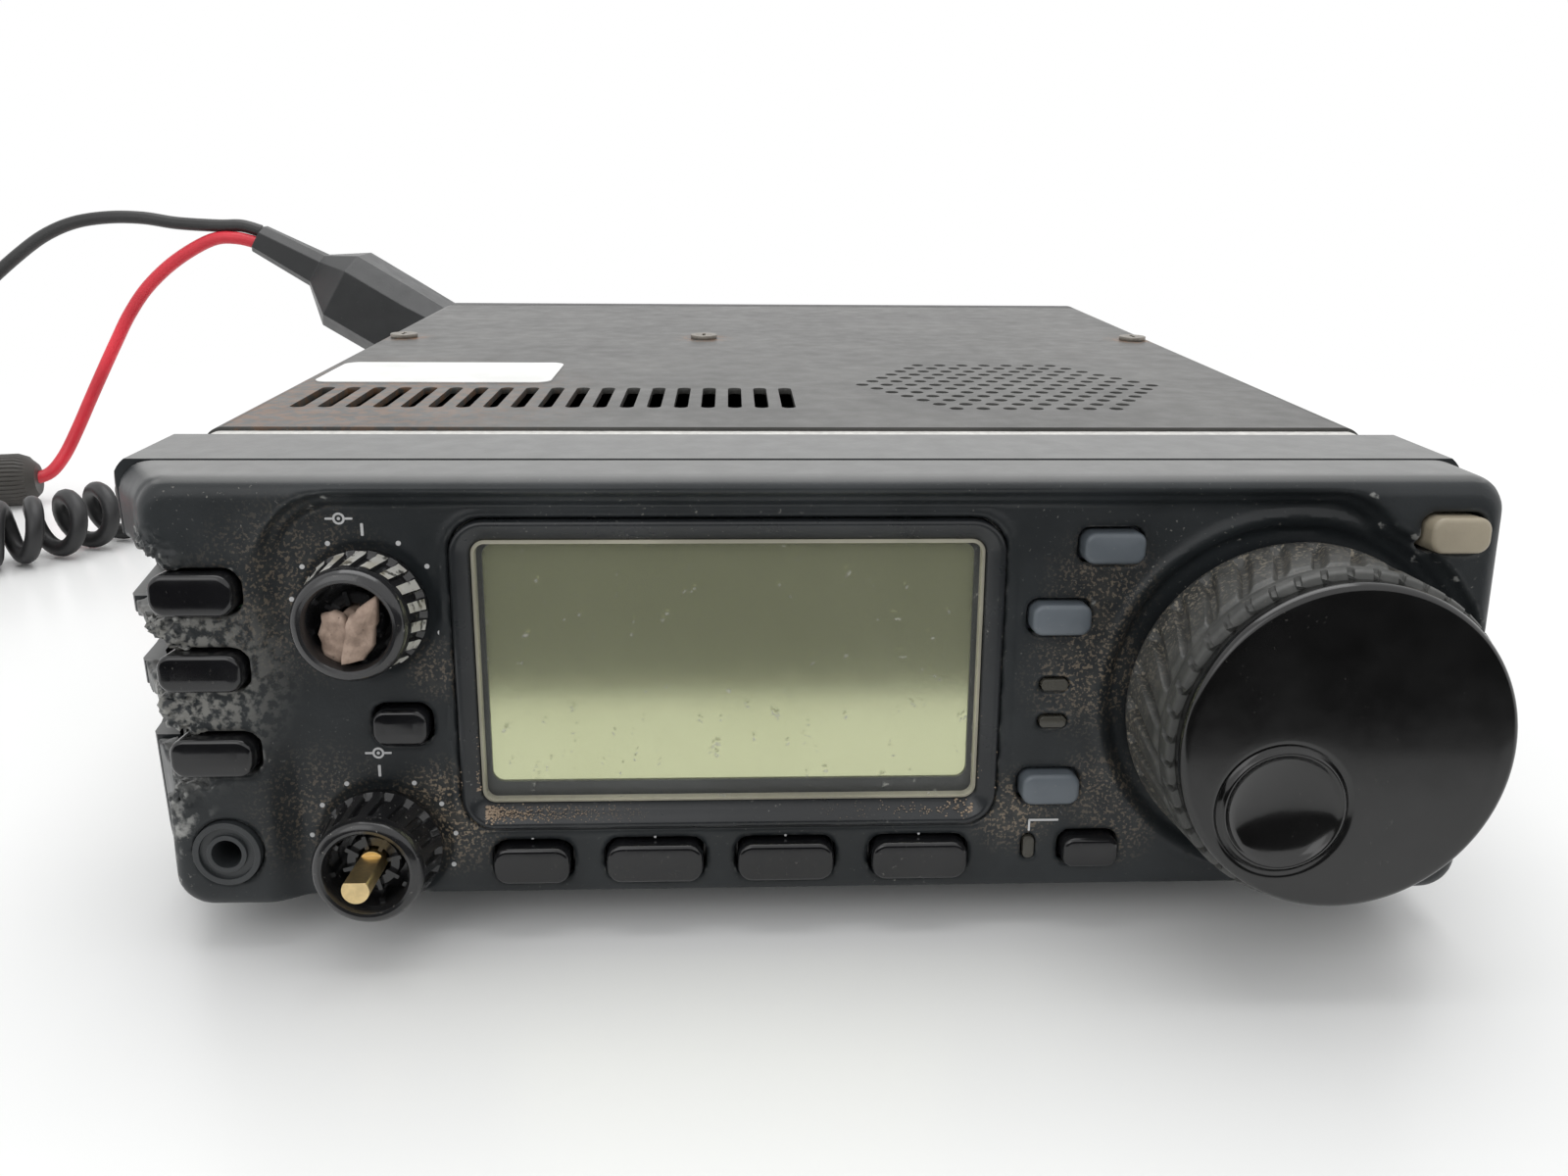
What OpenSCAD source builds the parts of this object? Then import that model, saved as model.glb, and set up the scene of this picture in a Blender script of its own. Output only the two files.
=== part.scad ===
// Compact mobile two way radio: a die-cast chassis in steel covers, with a detachable control head
// in front, its power lead and its coiled microphone cord.
// Millimetres, +X to the right as seen from the front, +Y to the rear, +Z up.
// The modules are drawn with y = 0 at the bottom edge of the face; place() moves them to the origin.

/* [Control head] */
// Width of the control head
head_w = 167; // [166:0.5:168]
// Lean of the face, top to the rear, in degrees
face_tilt = 5; // [4:0.5:6]
// Height of the face, measured along it
face_h = 53.6; // [53:0.1:54]
// Depth of the recessed middle of the face below its rim
rim_step = 3; // [2.6:0.1:3.2]
// Wall thickness of the moulded shells
wall = 2; // [1.6:0.1:2.2]

/* [Chassis] */
// Width of the chassis over its covers
chassis_w = 162; // [161:0.5:163]
// Height of the chassis top above the surface it stands on
chassis_top = 58; // [57.5:0.5:58]
// Distance from the face to the rear casting
chassis_rear = 200; // [198:1:202]
// Thickness of the steel covers
sheet = 1; // [0.8:0.1:1.2]
// Number of cooling slots in the top cover
slot_count = 19; // [10:1:19]

/* [Controls] */
// Radius of the tuning dial at its base
dial_r = 20.3; // [19.5:0.1:20.4]
// Height of the tuning dial's front above the face
dial_front = 18.4; // [17:0.1:19]
// Radius of the two ring knobs at their base
ring_r = 7.45; // [7:0.05:7.6]
// Height of the ring knobs above the face
ring_front = 8.8; // [8:0.1:9.5]
// Travel of every push button
key_travel = 0.8; // [0.5:0.1:0.8]

/* [Leads] */
// Diameter of the power wires
wire_d = 3.4; // [3:0.1:3.6]
// Diameter of the microphone cord
mic_cord_d = 4; // [3.6:0.1:4.2]
// Outer diameter of the coiled stretch of the microphone cord
curl_d = 16; // [15:0.5:17]

/* [Hidden] */
$fn = 48;
fine = 96;
gap = 0.3;                     // clearance between parts that stay apart
foot_h = 5;                    // the rubber feet lift everything by this much
head_rear = 27.6;              // rear of the control head
head_split = 12;               // joint between bezel and rear shell of the head
head_left = -77;               // left edge of the face, where the side tapers inwards
dock_front = 28;               // front of the docking frame
cover_front = 34;              // front edge of the covers
chassis_bottom = 6;
socket_len = 14;               // how far the aerial sockets stand out at the rear
aerial_z = 28;                 // height of the aerial sockets
aerial_r = 7.9;                // outside of the aerial sockets' threaded barrels
dial_x = 59.5;                 // centre of the tuning dial
dial_s = 25.5;
recess_r = dial_r + 2.4;
knob_x = -51.8;                // the two ring knobs are one above the other
af_s = 37.6;
shift_s = 7.6;
phones_x = -69.7;
phones_s = 8;
jack_r = 1.78;
recess_left = -61.6;           // the lowered middle of the face
recess_right = 69.5;
recess_top = 50;
lcd_x = -8.9;                  // centre of the display
lcd_s = 28.8;
y_front = 6.9 * sin(face_tilt) - dial_front * cos(face_tilt);
y_mid = (y_front + chassis_rear + socket_len) / 2;

// Keys: name, centre x, centre s along the face, width, height, level of the face around it
rim = rim_step;
KEYS = [
    ["power_key", -70.4, 40.3, 9.6, 5.0, rim],
    ["preamp_key", -70.3, 31.0, 9.6, 4.6, rim],
    ["tuner_key", -69.9, 20.6, 9.6, 4.8, rim],
    ["rit_key", -48.6, 23.1, 6.6, 4.6, 0],
    ["menu_key", -33.6, 4.9, 9.4, 4.8, 0],
    ["f1_key", -18.4, 5.0, 12.0, 5.0, 0],
    ["f2_key", -2.1, 5.0, 12.0, 5.0, 0],
    ["f3_key", 14.7, 5.0, 12.0, 5.0, 0],
    ["mode_key", 36.9, 44.9, 7.4, 3.9, 0],
    ["step_key", 31.0, 36.1, 7.2, 3.9, 0],
    ["display_key", 30.8, 14.3, 7.2, 4.0, 0],
    ["lock_key", 36.3, 5.8, 7.0, 4.0, 0],
    ["up_key", 77.0, 46.9, 7.6, 4.4, rim],
    ["down_key", 77.0, 5.2, 7.6, 4.4, rim]
];
key_stand = 1.9;               // how far a key stands out of the face around it
key_fit = 0.35;                // gap around a key
flange = 0.8;                  // lip that keeps a key behind the face
board_n = -7;                  // front of the key board, behind the face
HEAD_SCREWS = [[-61.4, 49.2], [50.5, 50], [-42.2, 3.6], [45.6, 3.8]];
LENSES = [[30.9, 27.5, 3.4, 1.5], [30.9, 22.7, 3.4, 1.5], [28.7, 6.0, 1.5, 3.0]];

charcoal = [0.075, 0.085, 0.09];
black = [0.03, 0.03, 0.035];
steel_paint = [0.2, 0.2, 0.19];
bare_metal = [0.72, 0.72, 0.7];
board_green = [0.08, 0.25, 0.12];
brass = [0.75, 0.58, 0.26];

// ---------------------------------------------------------------- frames and shapes

module place() translate([0, -y_mid, 0]) children();

// x across, y up along the leaning face, z outwards from it
module on_face(n = 0)
    translate([0, 0, foot_h]) rotate([-face_tilt, 0, 0]) rotate([90, 0, 0]) translate([0, 0, n]) children();

// A point of the face's side view: s along the face, n outwards, as [y, z]
function side(s, n) = [s * sin(face_tilt) - n * cos(face_tilt), foot_h + s * cos(face_tilt) + n * sin(face_tilt)];

module rounded(w, h, r) {
    square([w - 2 * r, h], center = true);
    square([w, h - 2 * r], center = true);
    for (x = [-1, 1], y = [-1, 1])
        translate([x * (w / 2 - r), y * (h / 2 - r)]) circle(r);
}

module rounded_plate(w, h, r, t) linear_extrude(t) rounded(w, h, r);

module ring(r_out, r_in, h) difference() {
    cylinder(r = r_out, h = h);
    translate([0, 0, -1]) cylinder(r = r_in, h = h + 2);
}

module along_x(x0, x1) translate([x0, 0, 0]) rotate([90, 0, 90]) linear_extrude(x1 - x0) children();
module along_y(y0, y1) translate([0, y1, 0]) rotate([90, 0, 0]) linear_extrude(y1 - y0) children();

// ---------------------------------------------------------------- control head shells

// The head's whole outer form, inset by a wall where it is hollowed; its floor is thinner
module head_form(inset, front_n) {
    top_z = side(face_h, front_n)[1] - inset;
    low = inset * 0.6;
    intersection() {
        along_x(-head_w / 2 + inset, head_w / 2 - inset)
            polygon([
                side(0.3 + low, front_n), side(face_h - inset, front_n),
                [head_rear + 5, top_z - 0.4], [head_rear + 5, foot_h + 0.6 + low]
            ]);
        along_y(-10, head_rear + 5) translate([0, foot_h + 27.2 + (low - inset) / 2])
            rounded(head_w - 2 * inset, 54.4 - inset - low, 4.5 - inset);
        translate([0, 0, -1]) linear_extrude(80)
            polygon([
                [head_left + inset, -12], [head_left + inset, 3], [-head_w / 2 + inset, 13 + inset],
                [-head_w / 2 + inset, 60], [head_w / 2 - inset, 60], [head_w / 2 - inset, -12]
            ]);
    }
}

// Everything in front of a depth y
module before(y) intersection() {
    children();
    translate([-150, -60, -10]) cube([300, 60 + y, 100]);
}

module behind(y, y_end = 400) intersection() {
    children();
    translate([-150, y, -10]) cube([300, y_end - y, 100]);
}

// The lowered middle of the face and the round bay of the dial
module face_recess() {
    translate([recess_left, -4]) square([recess_right - recess_left, recess_top + 1.3 + 4]);
    translate([dial_x, dial_s]) circle(recess_r, $fn = fine);
}

// Broken edge of the left side, around the three side keys
module broken_edge()
    polygon([
        [-80, 46.2], [-76.1, 45.6], [-75.4, 44.4], [-74.3, 43.9], [-74.0, 37.2], [-74.9, 36.7], [-76.6, 37.4],
        [-77.6, 35.9], [-76.0, 35.2], [-74.6, 35.4], [-73.9, 33.8], [-73.1, 28.4], [-74.6, 27.8], [-75.7, 28.6],
        [-76.4, 26.4], [-75.2, 24.4], [-73.2, 23.6], [-72.6, 17.4], [-74.4, 16.8], [-75.8, 15.2], [-80, 14.4]
    ]);

module screw_posts(r, n0, n1) for (p = HEAD_SCREWS)
    on_face(n0) translate([p[0], p[1], 0]) cylinder(r = r, h = n1 - n0);

// three breaks through the left wall, one beside each side key
BREAKS = [
    [[-4, 41.5], [6, 40.5], [13, 41.2], [20.5, 42.6], [21.4, 45.8], [18, 48.6], [9, 49.4], [-4, 48.8]],
    [[-4, 32.8], [8, 31.9], [17, 33], [23.5, 34.4], [24, 36.8], [19, 38.6], [8, 39.2], [-4, 38.4]],
    [[-4, 22], [7, 21.4], [15, 22.6], [19, 24.6], [18.4, 27.6], [12, 29.4], [-4, 29]],
];

module broken_side() for (outline = BREAKS)
    translate([-84, 0, 0]) rotate([90, 0, 90]) linear_extrude(7.8) polygon(outline);

module front_bezel() color(charcoal) place() difference() {
    union() {
        difference() {
            before(head_split) head_form(0, rim_step);
            before(head_split + 1) head_form(wall, -wall);
            on_face(0) linear_extrude(rim_step + 2) face_recess();
        }
        before(head_split) screw_posts(2.4, -20, -1.5);
        // ledge below the brow
        on_face(-0.2) translate([recess_left + 4, recess_top, 0]) cube([recess_right - recess_left - 8, 2, 1.5]);
        // short marks above the four keys under the display
        for (x = [-33.6, -18.4, -2.1, 14.7]) on_face(-0.1) translate([x - 0.2, 7.75, 0]) cube([0.4, 0.9, 0.25]);
    }
    for (k = KEYS)
        on_face(-4) translate([k[1], k[2], 0])
            rounded_plate(k[3] + 2 * key_fit, k[4] + 2 * key_fit, min(k[4], k[3]) / 2 - 0.6, 12);
    for (k = KEYS) if (k[5] > 0)
        on_face(-3) translate([k[1], k[2], 0])
            rounded_plate(k[3] + 2 * flange + 0.8, k[4] + 2 * flange + 0.8, 2, 3 + k[5] - 2);
    on_face(-3) translate([lcd_x, lcd_s, 0]) rounded_plate(66.2 + 0.4, 39 + 0.4, 4.2, 5);
    for (l = LENSES)
        on_face(-3) translate([l[0], l[1], 0]) rounded_plate(l[2] + 0.1, l[3] + 0.1, 0.7, 6);
    on_face(-5) translate([dial_x, dial_s, 0]) cylinder(r = 4.6, h = 12);
    for (s = [af_s, shift_s]) on_face(-5) translate([knob_x, s, 0]) cylinder(r = 3.6, h = 12);
    on_face(-5) translate([phones_x, phones_s, 0]) cylinder(r = 4.15, h = 14);
    screw_posts(1.1, -12, -3);
    on_face(-1.2) linear_extrude(9) broken_edge();
    broken_side();
    translate([-84, -4, foot_h + 16]) cube([7.4, 8, 27]);
}

module head_rear_shell() color(charcoal) place() difference() {
    union() {
        difference() {
            behind(head_split + 0.2, head_rear) head_form(0, rim_step);
            behind(head_split - 1, head_rear - wall) head_form(wall, -wall);
        }
        behind(head_split + 0.2, head_rear - 1) screw_posts(3.2, -40, -5);
    }
    screw_posts(1.4, -40, -5);
    screw_posts(2.8, -40, -16);
    // window for the docking connector
    translate([-17, head_rear - 5, 22]) cube([34, 10, 14]);
    broken_side();
}

module head_screws() color(bare_metal) place() for (p = HEAD_SCREWS)
    on_face(-17.4) translate([p[0], p[1], 0]) difference() {
        union() {
            cylinder(r = 1.05, h = 13);
            translate([0, 0, -0.2]) cylinder(r = 2.4, h = 1.6);
        }
        translate([0, 0, -0.7]) {
            translate([-1.4, -0.3, 0]) cube([2.8, 0.6, 1.1]);
            translate([-0.3, -1.4, 0]) cube([0.6, 2.8, 1.1]);
        }
    }

// ---------------------------------------------------------------- display

module display_surround() color(black) place() on_face(-2) translate([lcd_x, lcd_s, 0]) difference() {
    union() {
        rounded_plate(66.2, 39, 4, 2.5);
        rounded_plate(65, 37.8, 3.6, 2.9);
    }
    translate([0, 0.3, -1]) rounded_plate(61.4, 33.2, 1.6, 6);
    translate([0, 0.3, -1]) rounded_plate(64.2, 35.8, 1.6, 2.4);
    translate([0, 0.2, 2.3]) rounded_plate(62.6, 34.6, 2, 3);
}

module display_window() color([0.7, 0.75, 0.6, 0.4]) place()
    on_face(-1.65) translate([lcd_x, lcd_s + 0.3, 0]) rounded_plate(63.9, 35.5, 1.5, 0.95);

module lcd_panel() color([0.55, 0.58, 0.4]) place()
    on_face(-4.4) translate([lcd_x, lcd_s + 0.3, 0]) rounded_plate(64, 36, 0.6, 2.2);

module lcd_frame() color(bare_metal) place() on_face(-6.8) translate([lcd_x, lcd_s + 0.3, 0]) difference() {
    rounded_plate(67.4, 38.6, 1, 4.2);
    translate([0, 0, 2.3]) rounded_plate(64.2, 36.2, 0.7, 5);
}

// ---------------------------------------------------------------- key board and keys

module key_board() color(board_green) place() on_face(board_n - 1.6) difference() {
    translate([1.2, 27.1, 0]) rounded_plate(157, 46.4, 2, 1.6);
    for (s = [af_s, shift_s]) translate([knob_x, s, -1]) cylinder(r = 3.8, h = 4);
    translate([dial_x, dial_s, -1]) cylinder(r = 12.4, h = 4);
    translate([phones_x, phones_s, -1]) cylinder(r = 5.2, h = 4);
    for (p = HEAD_SCREWS) translate([p[0], p[1], -1]) cylinder(r = 3.6, h = 4);
    translate([-90, -1, -1]) cube([15.6, 60, 4]);
}

module key_switches() color(black) place() for (k = KEYS)
    on_face(board_n) translate([k[1], k[2], 0]) {
        translate([-2.3, -1.8, 0]) cube([4.6, 3.6, 1.2 + k[5] * 0.6]);
        cylinder(r = 1.1, h = 1.5 + k[5] * 0.6);
    }

// A moulded key: rounded cap, lip behind the face, and a stem down to its switch
module key(k) {
    top = k[5] + key_stand;
    stem_end = board_n + 1.5 + k[5] * 0.6 + key_travel + 0.1;
    lip = k[5] > 0 ? k[5] - 2 : -2;
    r = min(k[4], k[3]) / 2 - 0.7;
    place() on_face(0) translate([k[1], k[2], 0]) {
        translate([0, 0, lip - 0.6]) rounded_plate(k[3], k[4], r, top - 0.5 - lip + 0.6);
        translate([0, 0, top - 0.5]) rounded_plate(k[3] - 0.5, k[4] - 0.5, r - 0.2, 0.5);
        translate([0, 0, lip - 0.9]) rounded_plate(k[3] + 2 * flange, k[4] + 0.3, r, 0.7);
        translate([0, 0, stem_end]) cylinder(r = 1.3, h = lip - 0.5 - stem_end);
    }
}

module key_named(name) for (k = KEYS) if (k[0] == name) key(k);

module status_lenses() color([0.35, 0.33, 0.27]) place() for (l = LENSES)
    on_face(-3.2) translate([l[0], l[1], 0]) {
        rounded_plate(l[2] - 0.1, l[3] - 0.1, 0.6, 3.5);
        rounded_plate(l[2] + 1, l[3] + 1, 0.6, 1);
    }

module phones_jack() color(black) place() on_face(0) translate([phones_x, phones_s, 0]) difference() {
    union() {
        translate([0, 0, -9]) cylinder(r = 4.05, h = 9 + rim_step + 0.7);
        translate([-4.6, -3.6, -16]) cube([9.2, 9.6, 7.2]);
    }
    translate([0, 0, -9]) cylinder(r = jack_r, h = 20);
    translate([0, 0, rim_step + 0.2]) ring(3.3, 2.4, 2);
}

// ---------------------------------------------------------------- rotary controls

module dial_encoder() color(bare_metal) place() on_face(0) translate([dial_x, dial_s, 0]) difference() {
    union() {
        translate([0, 0, -15]) cylinder(r = 12, h = 12.6);
        translate([0, 0, -3]) cylinder(r = 4.5, h = 8);
        translate([0, 0, 0.1]) cylinder(r = 6.2, h = 1.6, $fn = 6);
    }
    translate([0, 0, -13]) cylinder(r = 3.05, h = 20);
}

module dial_spindle() color(bare_metal) place() on_face(-12.8) translate([dial_x, dial_s, 0])
    cylinder(r = 3, h = 24.4);

module dial_core() color(black) place() on_face(0.8) translate([dial_x, dial_s, 0]) difference() {
    union() {
        cylinder(r = 17.5, h = 13.6, $fn = fine);
        cylinder(r = 18.6, h = 1, $fn = fine);
    }
    translate([0, 0, -1]) cylinder(r = 14.5, h = 9);
    translate([0, 0, -1]) cylinder(r = 3, h = 11.8);
}

module dial_grip() color([0.06, 0.06, 0.06]) place() on_face(1.9) translate([dial_x, dial_s, 0]) difference() {
    cylinder(r1 = dial_r, r2 = dial_r - 0.5, h = 13.9, $fn = fine);
    translate([0, 0, -1]) cylinder(r = 17.5, h = 20, $fn = fine);
}

module dial_cap() color(black) place() on_face(14.4) translate([dial_x, dial_s, 0]) difference() {
    rotate_extrude($fn = fine) polygon(concat(
        [[0, 0], [17.4, 0], [17.4, 1.5], [19, 1.5], [19.1, 2.1]],
        [for (a = [10 : 20 : 90]) [17.4 + 1.7 * cos(a), dial_front - 14.4 - 1.7 + 1.7 * sin(a)]],
        [[0, dial_front - 14.4]]
    ));
    translate([-7.3, -7.3, 2]) cylinder(r = 7, h = 9);
    translate([-7.3, -7.3, 3.1]) cylinder(r1 = 7, r2 = 7.9, h = 1);
}

// Double potentiometers: a bushing for the ring knob's tube, with the inner spindle inside it
module double_controls() color(bare_metal) place() for (s = [af_s, shift_s])
on_face(0) translate([knob_x, s, 0]) difference() {
    union() {
        translate([-6, -2.9, -19]) cube([12, 10.6, 10.2]);
        translate([0, 0, -9]) cylinder(r = 3.4, h = 10.6);
    }
    translate([0, 0, -16]) cylinder(r = 2.55, h = 30);
}

// Ring knob: fluted rim, cup open to the front, tube on the outer spindle
module ring_knob(s) place() on_face(0) translate([knob_x, s, 0]) difference() {
    union() {
        translate([0, 0, 0.5]) cylinder(r = ring_r, h = 1.2);
        translate([0, 0, 1.6]) cylinder(r1 = ring_r - 0.25, r2 = ring_r - 0.7, h = ring_front - 1.6);
        translate([0, 0, -15]) cylinder(r = 2.5, h = 20);
    }
    translate([0, 0, 3]) cylinder(r = 5.2, h = 10);
    translate([0, 0, -0.2]) ring(4.9, 2.5, 2.4);
    translate([0, 0, -16]) cylinder(r = 1.64, h = 30);
    for (a = [0 : 15 : 345]) rotate(a) translate([ring_r + 0.35, 0, 2.6]) cylinder(r = 0.75, h = 12, $fn = 16);
}

module ring_hub(s) place() on_face(0) translate([knob_x, s, 0]) {
    translate([0, 0, 2.5]) ring(3.4, 1.64, 2.6);
}

module af_ring() color([0.3, 0.3, 0.29]) { ring_knob(af_s); ring_hub(af_s); }
module shift_ring() color(black) { ring_knob(shift_s); ring_hub(shift_s); }

// Inner spindle with a flat near its end
module spindle(s, n_end) place() on_face(0) translate([knob_x, s, 0]) difference() {
    translate([0, 0, -15.5]) cylinder(r = 1.6, h = n_end + 15.5);
    translate([-3, 0.95, n_end - 7]) cube([6, 3, 10]);
}

module af_spindle() {
    color(brass) spindle(af_s, 8);
    // torn remains of the insert of the lost inner knob
    color([0.62, 0.52, 0.42]) place() on_face(6) translate([knob_x, af_s, 0]) difference() {
        linear_extrude(4) polygon([
            [-3.1, -3.2], [-1.4, -3.9], [1.3, -3.1], [2.6, 0.2], [2.9, 3.4], [1.2, 1.7], [-0.4, 1.2], [-2.4, 1.5]
        ]);
        translate([0, 0, -1]) cylinder(r = 1.6, h = 3.01);
    }
}

module shift_spindle() color(brass) spindle(shift_s, 13);

// ---------------------------------------------------------------- chassis

module box_outline(inset = 0)
    translate([0, (chassis_top + chassis_bottom) / 2])
        rounded(chassis_w - 2 * inset, chassis_top - chassis_bottom - 2 * inset, 3 - inset);

module docking_frame() color(bare_metal) place() difference() {
    union() {
        along_y(dock_front, cover_front - 0.6) box_outline(0.4);
        along_y(cover_front - 1, cover_front + 8) box_outline(sheet + 0.3);
        translate([-15, head_rear - 5, 24]) cube([30, 8, 10]);
    }
    along_y(dock_front + 3, cover_front + 10) box_outline(sheet + 3);
    translate([-13.5, head_rear - 6, 26]) cube([27, 4, 6]);
    // hooks of the head catch in these slots
    for (x = [-62, 62]) translate([x - 6, dock_front - 1, 44]) cube([12, 3, 4]);
}

module chassis_casting() color([0.45, 0.45, 0.44]) place() difference() {
    union() {
        for (m = [0, 1]) mirror([m, 0, 0])
            translate([chassis_w / 2 - 5, 43, 16]) cube([5, 143, 28]);
        translate([-chassis_w / 2 + 4.5, 43, 27.6]) cube([chassis_w - 9, 143, 2]);
        translate([-chassis_w / 2 + 1.3, 183, 8]) cube([chassis_w - 2.6, 3, chassis_top - 10]);
    }
    for (m = [0, 1]) mirror([m, 0, 0]) {
        // lowered bands where the covers lie against the sides
        translate([chassis_w / 2 - sheet - 0.05, 40, 36.5]) cube([5, 160, 20]);
        translate([chassis_w / 2 - sheet - 0.05, 40, 10]) cube([5, 160, 17.5]);
        for (y = [80, 140]) translate([chassis_w / 2 - 6, y, 32]) rotate([0, 90, 0]) cylinder(r = 2, h = 10);
        for (y = [60, 110, 165], z = [19, 41]) translate([chassis_w / 2 - 6, y, z]) rotate([0, 90, 0])
            cylinder(r = 1.1, h = 10);
    }
    translate([-10.5, 59.5, 20]) cube([41, 41, 20]);
    // opening behind the sockets, and the holes of the rear screws
    translate([-78, 180, 14]) cube([64, 10, 36]);
    for (x = [-72, 72], z = [11, 53]) translate([x, 180, z]) rotate([-90, 0, 0]) cylinder(r = 1.1, h = 10);
}

module grille_holes() {
    pitch = 4.05;
    for (row = [-6 : 6], col = [-7 : 7]) {
        x = (col + (row % 2 == 0 ? 0 : 0.5)) * pitch;
        y = row * pitch * 0.866;
        if (abs(x) <= 26.4 - abs(y) * 0.58) translate([37.4 + x, 69.3 + y, chassis_top - 3]) cylinder(r = 1.05, h = 6, $fn = 24);
    }
}

module top_cover() color(steel_paint) place() difference() {
    along_y(cover_front, chassis_rear - 14) difference() {
        box_outline();
        box_outline(sheet);
        translate([-100, -40]) square([200, 40 + 37]);
    }
    slot_pitch = 72.9 / 18;
    for (i = [0 : slot_count - 1])
        translate([-72.9 + i * slot_pitch, 48.5, chassis_top - 3]) {
            translate([-1.05, 1, 0]) cube([2.1, 15.4, 6]);
            for (y = [1, 16.4]) translate([0, y, 0]) cylinder(r = 1.05, h = 6, $fn = 24);
        }
    grille_holes();
    for (x = [-75.5, -14.2, 75.5]) translate([x, 126, chassis_top - 3]) cylinder(r = 1.7, h = 6);
    for (m = [0, 1], y = [60, 110, 165]) mirror([m, 0, 0])
        translate([chassis_w / 2 - 3, y, 41]) rotate([0, 90, 0]) cylinder(r = 1.7, h = 6);
}

module bottom_cover() color(steel_paint) place() difference() {
    along_y(cover_front, chassis_rear - 14) difference() {
        box_outline();
        box_outline(sheet);
        translate([-100, 27]) square([200, 60]);
    }
    for (i = [0 : 11]) translate([-66 + i * 5, 60, chassis_bottom - 3]) cube([2, 18, 6]);
    for (x = [-66, 66], y = [46, 172]) translate([x, y, chassis_bottom - 3]) cylinder(r = 1.7, h = 6);
    for (m = [0, 1], y = [60, 110, 165]) mirror([m, 0, 0])
        translate([chassis_w / 2 - 3, y, 19]) rotate([0, 90, 0]) cylinder(r = 1.7, h = 6);
}

module heat_sink() color([0.16, 0.16, 0.16]) place() difference() {
    union() {
        along_y(chassis_rear - 14 + gap, chassis_rear - 9) box_outline();
        for (x = [-8 : 4.6 : 52]) translate([x, chassis_rear - 10, 41]) cube([1.8, 10, 15]);
        for (x = [-9, 50]) translate([x, chassis_rear - 10, 9]) cube([1.8, 10, 46]);
        translate([-79, chassis_rear - 10, 14.5]) cube([66, 9, 34]);
    }
    // bays for the sockets
    translate([-76, chassis_rear - 7, 29]) cube([24, 10, 18]);
    translate([-70, chassis_rear - 7, 13]) cube([14, 10, 12]);
    for (x = [14, 66]) translate([x, chassis_rear - 20, aerial_z]) rotate([-90, 0, 0]) cylinder(r = 6.5, h = 30);
    translate([-74.9, chassis_rear - 20, 30.1]) cube([21.8, 30, 15.8]);
    translate([-69, chassis_rear - 20, 14]) cube([12, 30, 10]);
    for (z = [20, 40]) translate([-38, chassis_rear - 20, z]) rotate([-90, 0, 0]) cylinder(r = z < 30 ? 5.2 : 7.2, h = 30);
    for (z = [16, 28, 40]) translate([-21, chassis_rear - 20, z]) rotate([-90, 0, 0]) cylinder(r = 3.9, h = 30);
    for (x = [-72, 72], z = [11, 53]) translate([x, chassis_rear - 20, z]) rotate([-90, 0, 0]) cylinder(r = 1.7, h = 30);
}

module circuit_boards() color(board_green) place() {
    translate([-74, 46, 22]) cube([148, 132, 1.6]);
    difference() {
        translate([-74, 46, 34]) cube([148, 132, 1.6]);
        translate([-12, 56, 30]) cube([44, 48, 10]);
    }
}

module board_parts() color(bare_metal) place() {
    for (x = [-70, -44, -18]) translate([x, 120, 35.7]) cube([22, 40, 9]);
    for (x = [30, 52]) translate([x, 110, 35.7]) cube([18, 56, 7]);
    for (i = [0 : 3]) translate([-60 + i * 12, 100, 35.7]) cube([8, 10, 6]);
    for (i = [0 : 5]) translate([-60 + i * 22, 160, 15.9]) ring(7, 3.4, 6);
    for (x = [-50, 0, 50]) translate([x - 9, 100, 23.7]) cube([18, 24, 3.6]);
    for (i = [0 : 6]) translate([-66 + i * 19, 60, 12]) cube([12, 14, 9.9]);
}

module speaker_frame() color(bare_metal) place() translate([37.4, 72, chassis_top - sheet - 0.1]) rotate([180, 0, 0]) difference() {
    union() {
        ring(26, 22, 1.2);
        translate([0, 0, 1.1]) difference() {
            cylinder(r1 = 24, r2 = 12, h = 8);
            translate([0, 0, -0.01]) cylinder(r1 = 22.8, r2 = 10.6, h = 7);
            translate([0, 0, 4]) cylinder(r = 8, h = 8);
        }
        translate([0, 0, 9]) cylinder(r = 12, h = 6);
    }
    translate([0, 0, 8]) cylinder(r = 8, h = 3);
}

module speaker_cone() color(black) place() translate([37.4, 72, chassis_top - sheet - 0.2]) rotate([180, 0, 0]) difference() {
    union() {
        translate([0, 0, 1.1]) cylinder(r1 = 21.8, r2 = 9, h = 6);
        translate([0, 0, 6]) cylinder(r = 7, h = 3);
    }
    translate([0, 0, 0.4]) cylinder(r1 = 21.8, r2 = 8.6, h = 6);
}

module fan_housing() color(black) place() translate([10, 80, 23.7]) difference() {
    union() {
        translate([-20, -20, 0]) cube([40, 40, 10]);
    }
    translate([0, 0, 1.6]) cylinder(r = 18.6, h = 12);
    for (a = [0 : 90 : 270]) rotate(a + 45) translate([11.5, 0, -1]) cylinder(r = 5, h = 5);
    for (x = [-16.5, 16.5], y = [-16.5, 16.5]) translate([x, y, -1]) cylinder(r = 1.7, h = 14);
}

module fan_rotor() color([0.12, 0.12, 0.12]) place() translate([10, 80, 23.7]) {
    translate([0, 0, 2.2]) cylinder(r = 8.5, h = 7.2);
    for (a = [0 : 360 / 7 : 359]) rotate(a) translate([8, -0.6, 3]) rotate([28, 0, 0]) cube([9.4, 1.2, 6]);
}

// ---------------------------------------------------------------- sockets at the rear

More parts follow.
